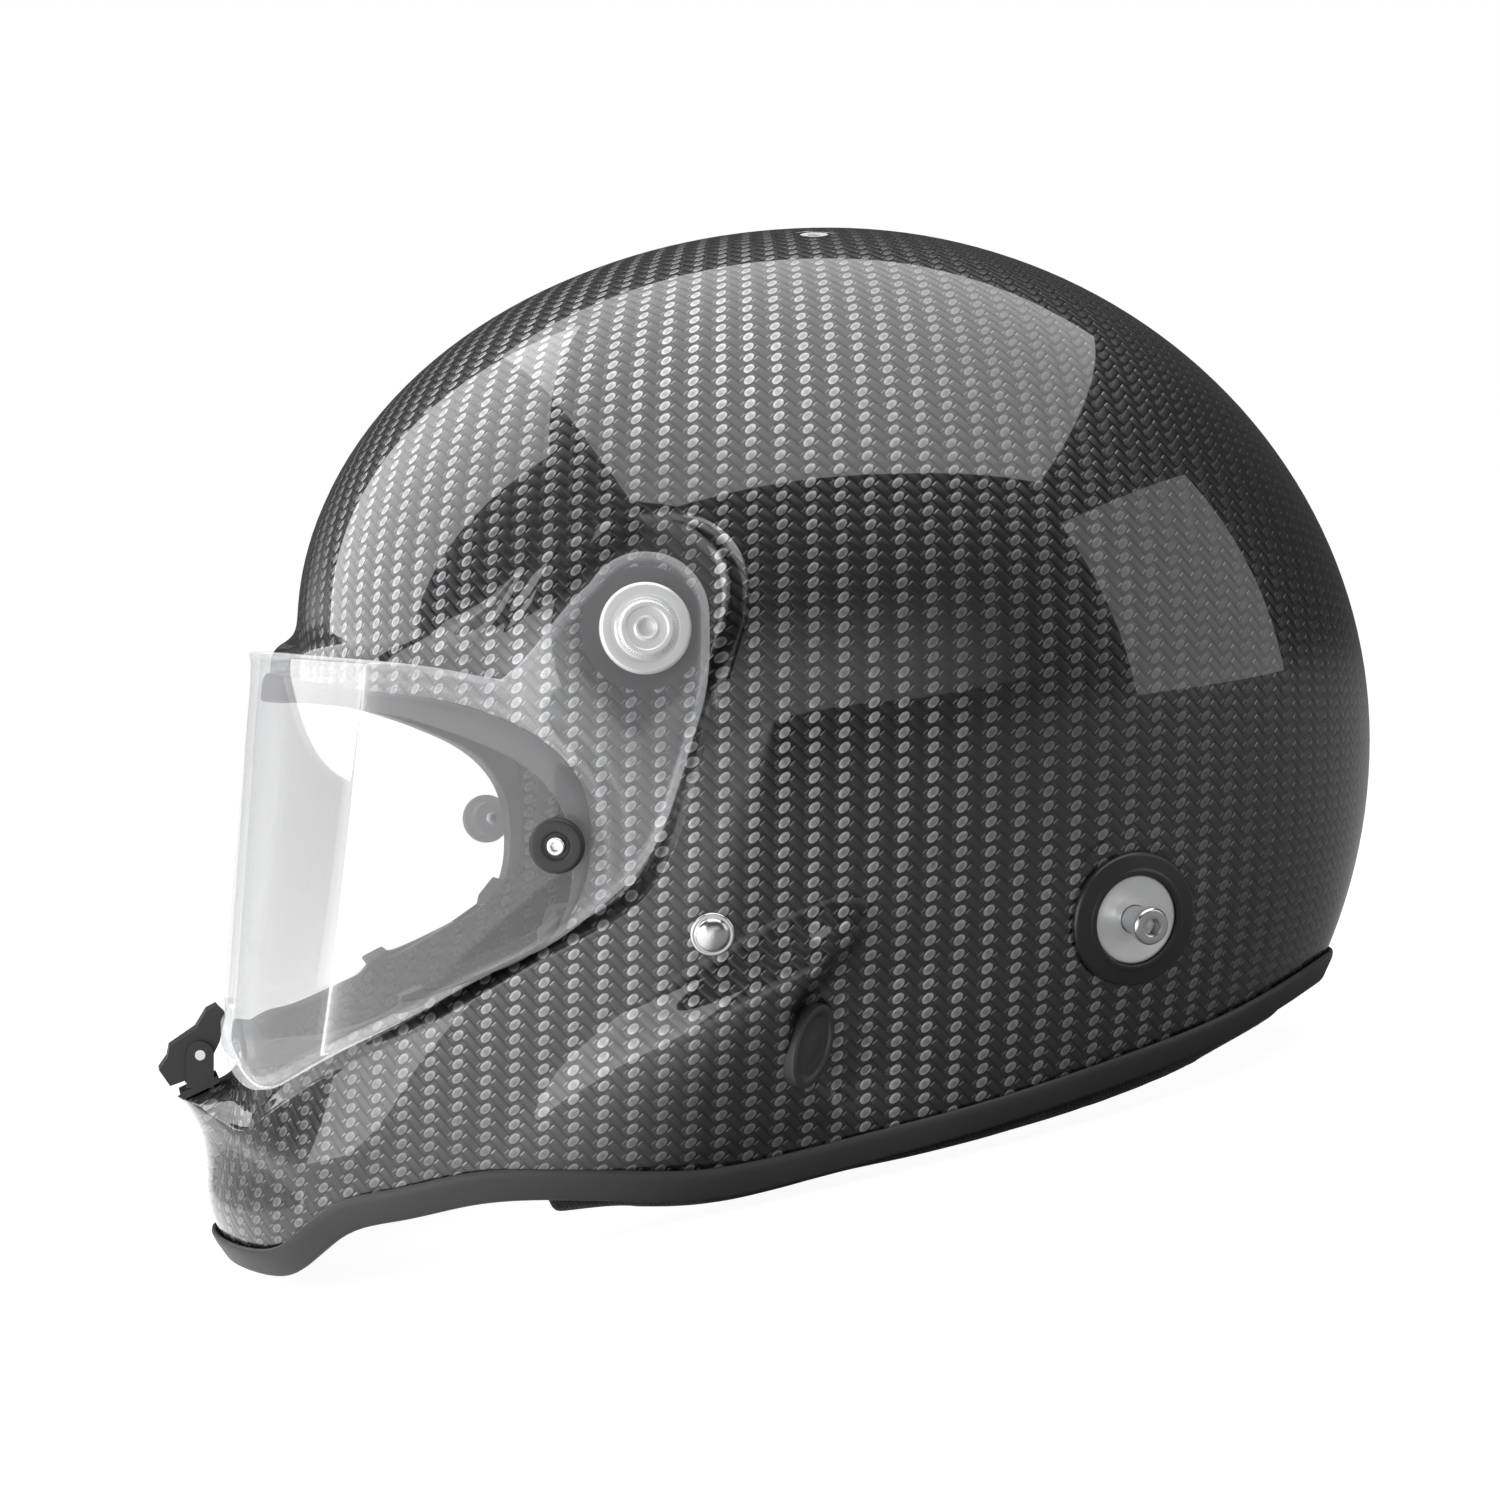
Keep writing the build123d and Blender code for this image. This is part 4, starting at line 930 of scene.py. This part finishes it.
def rim_band(name, node, row, inner_row, depth, over, lip, shoulder, rounding):
    """Closed band: a folded profile of (past, out) distances carried round the rim at a row of the shell."""
    edge = outer_skin[row]
    past_edge = edge - outer_skin[inner_row]
    past_edge /= np.linalg.norm(past_edge, axis=1, keepdims=True)
    outline = rounded_corners([
        (-depth, rim_fit), (-depth, shoulder[1]), (-depth + shoulder[0], over), (lip, over),
        (lip, -shell_wall - over), (-depth, -shell_wall - over),
        (-depth, -shell_wall - rim_fit), (rim_fit, -shell_wall - rim_fit), (rim_fit, rim_fit)], rounding)
    out = skin_normals[row]
    points = edge[:, None] + past_edge[:, None] * outline[None, :, :1] + out[:, None] * outline[None, :, 1:]
    piece = mesh_object(name, settled(points), grid_faces(len(edge), len(outline), True, True))
    return finished(piece, helmet_body, "black_rubber", node)


trim = rim_band(
    "edge_trim", "shell_edge_trim", -1, -2, depth=6.5, over=2.2, lip=3.0, shoulder=(1.6, 1.5), rounding=1.4)
gasket = rim_band(
    "port_gasket", "eyeport_gasket", 0, 1, depth=5.0, over=2.0, lip=3.6, shoulder=(2.4, 1.2), rounding=1.0)
print("trim and gasket", len(trim.data.polygons), len(gasket.data.polygons))

# %% [markdown]
# ## The visor
# The visor is a sheet that bends round the front, with a lug on each side. It is drawn between two
# edges seen from the side: the upper one from the brow to the lug, and the lower one from the chin
# up the rear to the same lug. A place between them is given by its height and its share of the
# run to the front, so the grid stays even round the bend. A bead runs along the border, and two
# low steps follow the eyeport.

# %% Outline of the visor
visor_shares = [(-0.85, 0.187), (-0.758, 0.178), (-0.64, 0.163), (-0.56, 0.147)]
visor_join = np.array([-0.525, 0.141]) * scale_pair
visor_neck_shares = [(-0.5, 0.165), (-0.44, 0.245), (-0.395, 0.3)]
visor_rear_shares = [
    (-0.186, 0.1), (-0.21, 0.02), (-0.253, -0.12), (-0.303, -0.213), (-0.362, -0.272),
    (-0.437, -0.335), (-0.562, -0.405), (-0.69, -0.485), (-0.822, -0.565), (-0.888, -0.613),
    (-0.938, -0.635), (-0.966, -0.612)]
lug_rise, lug_end = 3.7, 17.2
visor_top_z, visor_low_z = 29.2, -79.5
visor_columns, visor_rows, edge_count = 150, 56, 600


def lug_arc(start, stop):
    """Places on the lug's round end between two turns, in degrees from the rear."""
    turn = np.radians(np.linspace(start, stop, 24))
    middle = pivot_worn[[0, 2]] + np.array([0.0, lug_rise])
    return middle + lug_end * np.stack([np.cos(turn), np.sin(turn)], 1)


def joined(*runs):
    """One line through several runs of places, evenly divided and eased at its corners."""
    line = np.concatenate(runs)
    distance = np.concatenate([[0.0], np.cumsum(np.linalg.norm(np.diff(line, axis=0), axis=1))])
    even = np.linspace(0.0, distance[-1], edge_count)
    out = np.stack([np.interp(even, distance, line[:, k]) for k in (0, 1)], 1)
    for _ in range(12):
        out[1:-1] = (out[:-2] + 2 * out[1:-1] + out[2:]) / 4
    return out


fine = np.linspace(0.0, 1.0, 200)
upper_edge = joined(
    curve(side_points(on_profile(visor_top_z, visor_front), visor_shares, visor_join), fine),
    curve(side_points(visor_join, visor_neck_shares, lug_arc(150.0, 90.0)[0]), fine)[1:],
    lug_arc(150.0, 90.0)[1:])
lower_edge = joined(
    curve(side_points(on_profile(visor_low_z, visor_front), visor_rear_shares[::-1], lug_arc(0.0, 90.0)[0]),
          fine),
    lug_arc(0.0, 90.0)[1:])


def run_share(places):
    """Share of the run from the crown line to the visor's front, and the height, of side-view places."""
    return np.stack([(crown_x - places[:, 0]) / (crown_x - visor_front(places[:, 1])), places[:, 1]], 1)


def gap_to(x, z, line):
    """Shortest distance from side-view places to the points of a line."""
    flat = np.stack([x.ravel(), z.ravel()], 1)
    nearest = np.full(len(flat), np.inf)
    for chunk in np.array_split(line, 12):
        nearest = np.minimum(nearest, np.sqrt(((flat[:, None] - chunk[None]) ** 2).sum(-1)).min(1))
    return nearest.reshape(x.shape)


def inside_line(x, z, line):
    """True where a place is inside a closed line, by counting the edges to its right."""
    a, b = line, np.roll(line, -1, 0)
    px, pz = x.ravel()[:, None], z.ravel()[:, None]
    crosses = (a[None, :, 1] > pz) != (b[None, :, 1] > pz)
    rise_of_edge = np.where(b[:, 1] == a[:, 1], 1e-9, b[:, 1] - a[:, 1])
    at = a[None, :, 0] + (pz - a[None, :, 1]) * ((b[:, 0] - a[:, 0]) / rise_of_edge)[None]
    return ((crosses & (px < at)).sum(1) % 2 == 1).reshape(x.shape)


column_shares = spread_shares(visor_columns, lambda s: (
    1.0 + 0.22 * (s + 2e-5) ** -0.62 + 1.2 * np.exp(-(1 - s) / 0.06)))
row_mix = spread_shares(visor_rows, lambda r: 1.0 + 3.0 * np.exp(-r / 0.03) + 3.0 * np.exp(-(1 - r) / 0.03))
upper, lower = (run_share(np.stack([
    np.interp(column_shares * (edge_count - 1), np.arange(edge_count), edge[:, k]) for k in (0, 1)], 1))
    for edge in (upper_edge, lower_edge))
print("visor edges", np.round(upper_edge[[0, -1]], 1).tolist(), np.round(lower_edge[[0, -1]], 1).tolist())

# %% Sheet of the visor
bead_rise, bead_half, step_drop = 0.55, 1.7, 0.3


def visor_face(inset):
    """Left half of the visor's face at an inset, column by column from the front to the lug."""
    mix = row_mix[None, :, None]
    place = upper[:, None] * (1 - mix) + lower[:, None] * mix
    share, z = place[..., 0], place[..., 1]
    x = crown_x - share * (crown_x - visor_front(z))
    run = crown_x - visor_front(z, inset)
    x_in = crown_x - share * run
    y = visor_side(x_in, z, inset)
    y[0] = 0.0
    return np.stack([x_in, -y, z], -1), x, z


outer_face, side_x, side_z = visor_face(0.0)
inner_face, _, _ = visor_face(visor_wall)
face_normals = np.cross(np.gradient(outer_face, axis=0), np.gradient(outer_face, axis=1))
face_normals /= np.maximum(1e-9, np.linalg.norm(face_normals, axis=-1, keepdims=True))
face_normals[-1] = face_normals[-2]
if face_normals[visor_columns // 2, visor_rows // 2, 1] > 0:
    face_normals = -face_normals
face_normals[0, :, 1] = 0.0
border = np.concatenate([upper_edge, lower_edge])
to_border = gap_to(side_x, side_z, border)
port_line = curve(port_points, np.linspace(0.0, 1.0, 400))
port_region = np.concatenate([[(-220.0, port_line[0, 1])], port_line, [(-220.0, port_line[-1, 1])]])
to_port = gap_to(side_x, side_z, port_line) * np.where(inside_line(side_x, side_z, port_region), -1.0, 1.0)
bead = bead_rise * np.exp(-(to_border / bead_half) ** 4)
steps = -step_drop * sum(1 - smooth_step(to_port, step - step_half, step + step_half) for step in visor_steps)
outer_face = outer_face + face_normals * (bead + steps * smooth_step(to_border, 2.0, 4.0))[..., None]
edge_round = np.clip(1.0 - to_border / 0.7, 0.0, 1.0)[..., None]
outer_face = outer_face - face_normals * edge_round * 0.5
inner_face = inner_face + face_normals * edge_round * 0.5
sheet_loop = np.concatenate([outer_face, inner_face[:, ::-1]], 1)
sheet_all = np.concatenate([opposite(sheet_loop[:0:-1]), sheet_loop])
contour_map = np.stack([np.concatenate([d, d[:, ::-1]], 1) for d in (to_port, to_border)], -1)
visor_piece = welded(mesh_object(
    "clear_visor", settled(sheet_all), grid_faces(len(sheet_all), sheet_all.shape[1], False, True),
    np.concatenate([contour_map[:0:-1], contour_map])))

# %% Openings of the visor
notch_half, notch_z, bush_hole, shank = 13.0, -73.0, 8.2, 1.65
tear_x, tear_z = -68.2, -23.6
tear_seat = Seat(tear_x, tear_z, visor_side)
pivot_seat = PivotSeat()


def notch_cutter():
    """Block with rounded corners that frees the latch at the middle of the lower edge."""
    outline = rounded_corners(
        [(-notch_half, -140.0), (notch_half, -140.0), (notch_half, notch_z), (-notch_half, notch_z)], 5.0, 8)
    loops = np.stack([np.insert(outline, 0, x, axis=1) for x in (-200.0, -120.0)])
    return welded(mesh_object("cutter", settled(capped(loops)), grid_faces(4, len(outline), False, True)))


cutters = [notch_cutter()]
for side in (1.0, -1.0):
    cutters.append(plug_cutter(pivot_seat, bush_hole, 100.0, 130.0, side))
    cutters.append(plug_cutter(tear_seat, shank, -12.0, 12.0, side))
cut_out(visor_piece, cutters)
finished(visor_piece, visor_body, "clear_visor", "visor_shield")
print("visor faces", len(visor_piece.data.polygons))

# %% [markdown]
# ## Turned fittings
# Pivots, posts, anchors and rivets are lathe work: a closed profile of radius and height, swept
# about the fitting's own axis. A shape function may change the radius as it turns, which makes
# knurls and hexagon sockets from the same call.

# %% Profiles that turn
def hexagon(turn):
    """Radius of a hexagon, as a share of its corner radius, at a turn."""
    return np.cos(np.pi / 6) / np.cos(np.mod(turn, np.pi / 3) - np.pi / 6)


def dome(radius, base, height, steps=14):
    """Profile points from a dome's edge to its top."""
    turn = np.linspace(0.0, np.pi / 2, steps)
    return [(radius * np.cos(t), base + height * np.sin(t)) for t in turn]


def socket_shape(radius, floor):
    """Shape function: hexagon below a radius and above a floor, round elsewhere."""
    return lambda turn, r, h: np.where((r < radius + 0.05) & (h > floor - 0.05), hexagon(turn), 1.0)


def knurl(radius, low, count, depth):
    """Shape function: small waves round the rim beyond a radius and above a height."""
    return lambda turn, r, h: 1.0 + np.where((r > radius) & (h > low), depth / radius * np.cos(count * turn), 0.0)


seat_y, flange_y = 117.3, 119.9
both_sides("pivot_flange", turned_form(pivot_seat, [
    (4.95, seat_y), (12.6, seat_y), (12.6, flange_y - 0.7), (11.9, flange_y), (9.3, flange_y),
    (9.0, flange_y - 0.35), (8.5, flange_y - 0.35), (8.2, flange_y), (4.95, flange_y)],
    144, radius=0.25), helmet_body, "satin_aluminium", "pivot_flange")
both_sides("pivot_button", turned_form(pivot_seat, [
    (0.0, 104.7), (4.85, 104.7), (4.85, 119.95), (7.75, 119.95), (7.75, 121.7), (7.1, 122.3), (6.0, 122.3),
    (5.7, 121.95), (3.6, 121.8), (2.9, 122.15), (2.6, 122.0), (2.3, 120.9), (0.0, 120.5)],
    320, knurl(7.2, 119.9, 64, 0.14), radius=0.2), helmet_body, "satin_aluminium", "pivot_screw")

# %% Tear-off posts
both_sides("tear_post", turned_form(tear_seat, [
    (1.7, 0.0), (5.4, 0.0), (5.4, 2.2), (7.7, 3.2), (7.7, 5.3), (6.9, 6.0), (4.0, 6.0), (3.5, 5.5),
    (1.7, 5.5)],
    96, radius=0.4), visor_body, "black_plastic", "tear_off_post")
both_sides("tear_screw", turned_form(tear_seat, [
    (0.0, -4.5), (1.6, -4.5), (1.6, 5.55), (2.5, 5.55), (2.5, 6.8), (2.2, 7.1), (1.35, 7.1),
    (1.35, 6.0), (0.0, 6.0)],
    72, socket_shape(1.35, 6.0), radius=0.12), visor_body, "bright_steel", "tear_off_screw")

# %% Restraint anchors
anchor_seat = Seat(anchor_worn[0], anchor_worn[1], shell_side)
both_sides("anchor_ring", turned_form(anchor_seat, [
    (12.75, -2.0), (19.0, -2.0), (19.0, 1.5), (18.4, 2.1), (14.6, 2.75), (14.2, 3.1), (13.1, 3.2),
    (12.75, 2.9)],
    160, radius=0.4), helmet_body, "black_anodised", "anchor_ring")
both_sides("anchor_dish", turned_form(anchor_seat, [
    (3.95, -2.0), (12.65, -2.0), (12.65, 1.6), (12.1, 2.0), (10.9, 1.85), (6.2, 0.9), (3.95, 0.9)],
    128, radius=0.4), helmet_body, "satin_aluminium", "anchor_dish")
both_sides("anchor_post", turned_form(anchor_seat, [
    (0.0, -8.0), (3.9, -8.0), (3.9, 7.2), (5.25, 8.6), (5.25, 10.8), (4.6, 11.5), (2.75, 11.5), (2.55, 11.2),
    (2.55, 8.0), (0.0, 8.0)],
    96, socket_shape(2.6, 8.0), radius=0.3), helmet_body, "bright_steel", "anchor_post")

# %% Strap rivets and port plugs
rivet_seat = Seat(-27.0, -48.1, shell_side)
both_sides("strap_rivet", turned_form(rivet_seat, [
    (0.0, -6.0), (2.4, -6.0), (2.4, 0.0), (6.1, 0.0), (6.1, 0.8), (5.7, 1.2), (4.95, 1.15),
    *dome(4.75, 1.2, 2.05)],
    96, radius=0.2), helmet_body, "bright_steel", "strap_rivet")


class PlugSeat(Seat):
    """Seat of the oval plug: on the end wall of the fairing, facing out and to the rear."""

    def __init__(self):
        plain = Seat(3.5, -78.5, shell_side)
        out = plain.out + np.array([0.62, 0.0, 0.1])
        self.out = out / np.linalg.norm(out)
        along = plain.along - self.out * (plain.along @ self.out)
        along /= np.linalg.norm(along)
        up = np.cross(self.out, along)
        tilt = np.radians(-20.0)
        self.along = along * np.cos(tilt) + up * np.sin(tilt)
        self.up = np.cross(self.out, self.along)
        self.origin = plain.origin + plain.out * 2.6 - np.array([3.2, 0.0, 0.0])


plug_half_width, plug_half_length = 6.6, 12.2
both_sides("port_plug", turned_form(PlugSeat(), [
    (0.0, -5.0), (0.93, -5.0), (1.0, 0.6), (0.97, 1.5), (0.86, 1.9), (0.78, 1.75), (0.72, 1.1), (0.62, 1.0),
    (0.5, 1.25), (0.42, 1.1), (0.3, 1.35), (0.0, 1.5)],
    96, radius=0.0, stretch=(plug_half_width, plug_half_length)), helmet_body, "black_rubber", "port_plug")

# %% [markdown]
# ## Soft goods
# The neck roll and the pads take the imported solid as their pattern. A copy of it is made slightly
# smaller and given an even net by a voxel remesh, and a cloth simulation with a little pressure
# inside swells it until the cloth goes taut. A cap on the movement keeps each pad off its
# neighbours.

# %% Pads swelled as cloth
swell_caps = {"neck_roll": 4.0, "crown_pad": 2.0, "brow_pad": 2.0, "nape_pad": 2.0,
              "side_pad_left": 2.0, "side_pad_right": 2.0, "cheek_pad_left": 2.5, "cheek_pad_right": 2.5}
voxel, shrink, pressure, cloth_steps = 4.5, 1.2, 4.0, 12


def vectors_of(items, key):
    """Vectors that a mesh holds for its vertices, as an array."""
    flat = np.empty(len(items) * 3, np.float32)
    items.foreach_get(key, flat)
    return flat.reshape(-1, 3).astype(float)


def place_points(piece, points):
    """Writes vertex places back into a mesh."""
    piece.data.vertices.foreach_set("co", points.astype(np.float32).ravel())
    piece.data.update()


def blown_up(piece):
    """Vertex places of a piece after a short cloth simulation with air inside."""
    cloth = piece.modifiers.new("air", "CLOTH")
    cloth.settings.use_pressure = True
    cloth.settings.uniform_pressure_force = pressure
    cloth.settings.effector_weights.gravity = 0.0
    cloth.point_cache.frame_start, cloth.point_cache.frame_end = 1, cloth_steps
    for step in range(1, cloth_steps + 1):
        bpy.context.scene.frame_set(step)
    shape = piece.evaluated_get(bpy.context.evaluated_depsgraph_get())
    places = vectors_of(shape.data.vertices, "co")
    piece.modifiers.remove(cloth)
    bpy.context.scene.frame_set(1)
    return places


def swelled(node, cap):
    """Padded piece from a node's solid: remeshed, drawn in, then blown up as cloth up to a cap."""
    piece = bpy.data.objects.new("soft_" + node, bpy.data.objects[node].data.copy())
    bpy.context.scene.collection.objects.link(piece)
    piece.data.materials.clear()
    welded(piece)
    applied(piece, "REMESH", mode="VOXEL", voxel_size=voxel * millimetre)
    start = vectors_of(piece.data.vertices, "co")
    start = start - vectors_of(piece.data.vertex_normals, "vector") * shrink * millimetre
    place_points(piece, start)
    move = blown_up(piece) - start
    length = np.linalg.norm(move, axis=1, keepdims=True)
    place_points(piece, start + move * np.minimum(1.0, cap * millimetre / np.maximum(length, 1e-9)))
    applied(piece, "SUBSURF", levels=1, render_levels=1)
    piece.data.shade_smooth()
    finished(piece, helmet_body, "black_fabric", node)
    return piece


for node, cap in swell_caps.items():
    print(node, len(swelled(node, cap).data.polygons))

# %% [markdown]
# ## Chin strap
# Each half of the strap is a flat band of webbing 22 mm wide: it leaves a rivet inside the shell,
# runs down beside the jaw and meets its ring under the chin. The band is a strip of points across
# and along its path, with a closed wall 2 mm thick.

# %% Straps
strap_low_x, strap_high_x, strap_thick = -36.0, -14.0, 2.0
strap_side_z = np.array([-43.1, -67.5, -87.75])
strap_path = np.concatenate([
    np.stack([shell_side(np.full(3, -25.0), strap_side_z) - 6.2 - strap_thick / 2, strap_side_z], 1),
    [(91.2, -96.0), (70.4, -100.8), (48.0, -111.0), (12.6, -120.0)]])


def band_strip(path, low_x, high_x, thick, count=90):
    """Closed flat band: points, faces, weave map and length of a rounded strip carried along a path."""
    line = curve(path, np.linspace(0.0, 1.0, count))
    along = np.gradient(line, axis=0)
    along /= np.linalg.norm(along, axis=1, keepdims=True)
    out = np.stack([-along[:, 1], along[:, 0]], 1)
    half = thick / 2
    section = rounded_corners([(low_x, -half), (high_x, -half), (high_x, half), (low_x, half)], 0.7, 4)
    place = line[:, None] + out[:, None] * section[None, :, 1:]
    x = np.broadcast_to(section[:, 0], place.shape[:2])
    points = capped(np.stack([x, -place[..., 0], place[..., 1]], -1))
    run = np.concatenate([[0.0], np.cumsum(np.linalg.norm(np.diff(line, axis=0), axis=1))])
    run = np.concatenate([run[:1], run, run[-1:]])
    weave = np.stack(np.broadcast_arrays(section[None, :, 0], run[:, None]), -1)
    return points, grid_faces(len(points), len(section), False, True), weave, run[-1]


points, faces, weave, strap_length = band_strip(strap_path, strap_low_x, strap_high_x, strap_thick)
straps = both_sides("chin_band", (points, faces), helmet_body, "black_webbing", "chin_strap", weave)
for side, strap in zip(("left", "right"), straps):
    "side_liner_" + side
print("strap length", round(strap_length, 1), "mm")

# %% [markdown]
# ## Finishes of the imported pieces
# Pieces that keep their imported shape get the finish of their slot.

# %% Finishes for the rest
dressed = 0
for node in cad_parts:
    piece = bpy.data.objects.get(node)
    if piece is None or piece.type != "MESH":
        continue
    for slot in piece.material_slots:
        stem = slot.material.name.split(".")[0] if slot.material else ""
        for name, material in finish_by_slot.items():
            if name in stem:
                slot.material = material
                dressed += 1
print("packed pieces dressed", dressed)

# %% [markdown]
# ## Studio
# The light is a large softbox overhead, two panels in front on the camera's side, one of them low,
# and a dim strip behind. They are what the coat mirrors, so their edges draw the reflections on
# the crown and the temple. The floor is plain and pale, and the backdrop is white for the camera
# alone. Mirrored rays see a white wall low in front and darkness elsewhere.

# %% Floor and world
floor_half = 30.0
white = (1.0, 1.0, 1.0, 1.0)
floor_mesh = bpy.data.meshes.new("floor")
floor_mesh.from_pydata([(x * floor_half, y * floor_half, 0.0) for x, y in ((-1, -1), (1, -1), (1, 1), (-1, 1))],
                       [], [(0, 1, 2, 3)])
floor = bpy.data.objects.new("floor", floor_mesh)
bpy.context.scene.collection.objects.link(floor)


def seen_directly(tree):
    """Two sockets: 1 for camera and transmission rays, and 1 for mirrored rays."""
    path = tree.nodes.new("ShaderNodeLightPath")
    camera_ray, through_ray, glossy_ray = (
        Flow(tree, path.outputs[name]) for name in ("Is Camera Ray", "Is Transmission Ray", "Is Glossy Ray"))
    return camera_ray.math("MAXIMUM", camera_ray, through_ray), glossy_ray


def floor_glow(tree):
    """Glow that makes a matte floor pale for the camera, and for mirrored rays in front."""
    seen, glossy = seen_directly(tree)
    x, _, _ = parts_of(object_place(tree))
    return {"Emission Strength": seen * 0.94 + glossy * between(x * -1.0, 0.05, 0.12)}


floor_mesh.materials.append(finish_of(
    "pale_floor", floor_glow, Base_Color=(0.22, 0.22, 0.22, 1.0), Roughness=0.9, Specular_IOR_Level=0.1,
    Emission_Color=white))


def studio_world():
    """White for the camera, a dim room for the light, and a white wall low on the front and camera side."""
    world = bpy.data.worlds.new("studio")
    bpy.context.scene.world = world
    tree = emptied(world)
    seen, glossy = seen_directly(tree)
    x, y, z = parts_of(add_node(tree, "ShaderNodeTexCoord", output="Generated"))
    front = between(y * -0.35 - x * 0.94, -0.15, 0.25)
    low = 1.0 - between(z, 0.1, 0.3)
    level = 0.3 + glossy * (front * low * 0.7 - 0.24)
    light = add_node(tree, "ShaderNodeBackground", {}, {
        "Color": white, "Strength": level + seen * (1.0 - level)})
    add_node(tree, "ShaderNodeOutputWorld", {}, {"Surface": light})


studio_world()

# %% Lamps and camera
aim = np.array([0.0, 0.0, 0.14])


def softbox(name, place, width, height, radiance, target=aim):
    """Rectangular lamp aimed at a place. Its power is pi times its area times its radiance."""
    lamp = bpy.data.lights.new(name, "AREA")
    lamp.shape, lamp.size, lamp.size_y = "RECTANGLE", width, height
    lamp.energy = np.pi * width * height * radiance
    holder = bpy.data.objects.new(name, lamp)
    holder.location = place
    holder.visible_camera = False
    holder.rotation_euler = (Vector(target) - Vector(place)).to_track_quat("-Z", "Y").to_euler()
    bpy.context.scene.collection.objects.link(holder)


def round_about(azimuth, elevation, distance):
    """Place at an azimuth from the camera side, positive to the rear, and an elevation."""
    a, e = np.radians(azimuth), np.radians(elevation)
    return aim + distance * np.array([np.sin(a) * np.cos(e), -np.cos(a) * np.cos(e), np.sin(e)])


over_low, over_high = (-0.27, -1.1), (1.2, 0.7)
over_middle = [(a + b) / 2 for a, b in zip(over_low, over_high)]
softbox("overhead_box", (*over_middle, 1.14), over_high[0] - over_low[0], over_high[1] - over_low[1], 1.9,
        target=(*over_middle, 0.0))
softbox("front_panel", tuple(round_about(-110, 45, 1.1)), 1.1, 1.3, 2.6)
softbox("low_front_panel", tuple(round_about(-55, 0, 0.8) + np.array([0.0, 0.0, 0.1])), 0.85, 0.46, 2.6,
        target=(0.0, 0.0, 0.24))
softbox("rear_strip", tuple(round_about(65, 0, 1.2)), 0.9, 1.1, 1.0)

lens, camera_distance = 112.56, 1.4
right = np.array([0.99026807, -0.1391731, 0.0])
back = np.array([-0.1391519, -0.99011725, 0.01745241])
up = np.array([0.00242891, 0.01728256, 0.9998477])
camera = bpy.data.objects.new("photo_camera", bpy.data.cameras.new("photo_camera"))
camera.data.lens, camera.data.sensor_width = lens, 36.0
columns = np.eye(4)
columns[:3, 0], columns[:3, 1], columns[:3, 2] = turned(right), turned(up), turned(back)
columns[:3, 3] = settled(np.zeros(3)) + turned(back) * camera_distance
camera.matrix_world = Matrix(columns.tolist())
bpy.context.scene.collection.objects.link(camera)
bpy.context.scene.camera = camera
bpy.context.scene.view_settings.view_transform = "Standard"
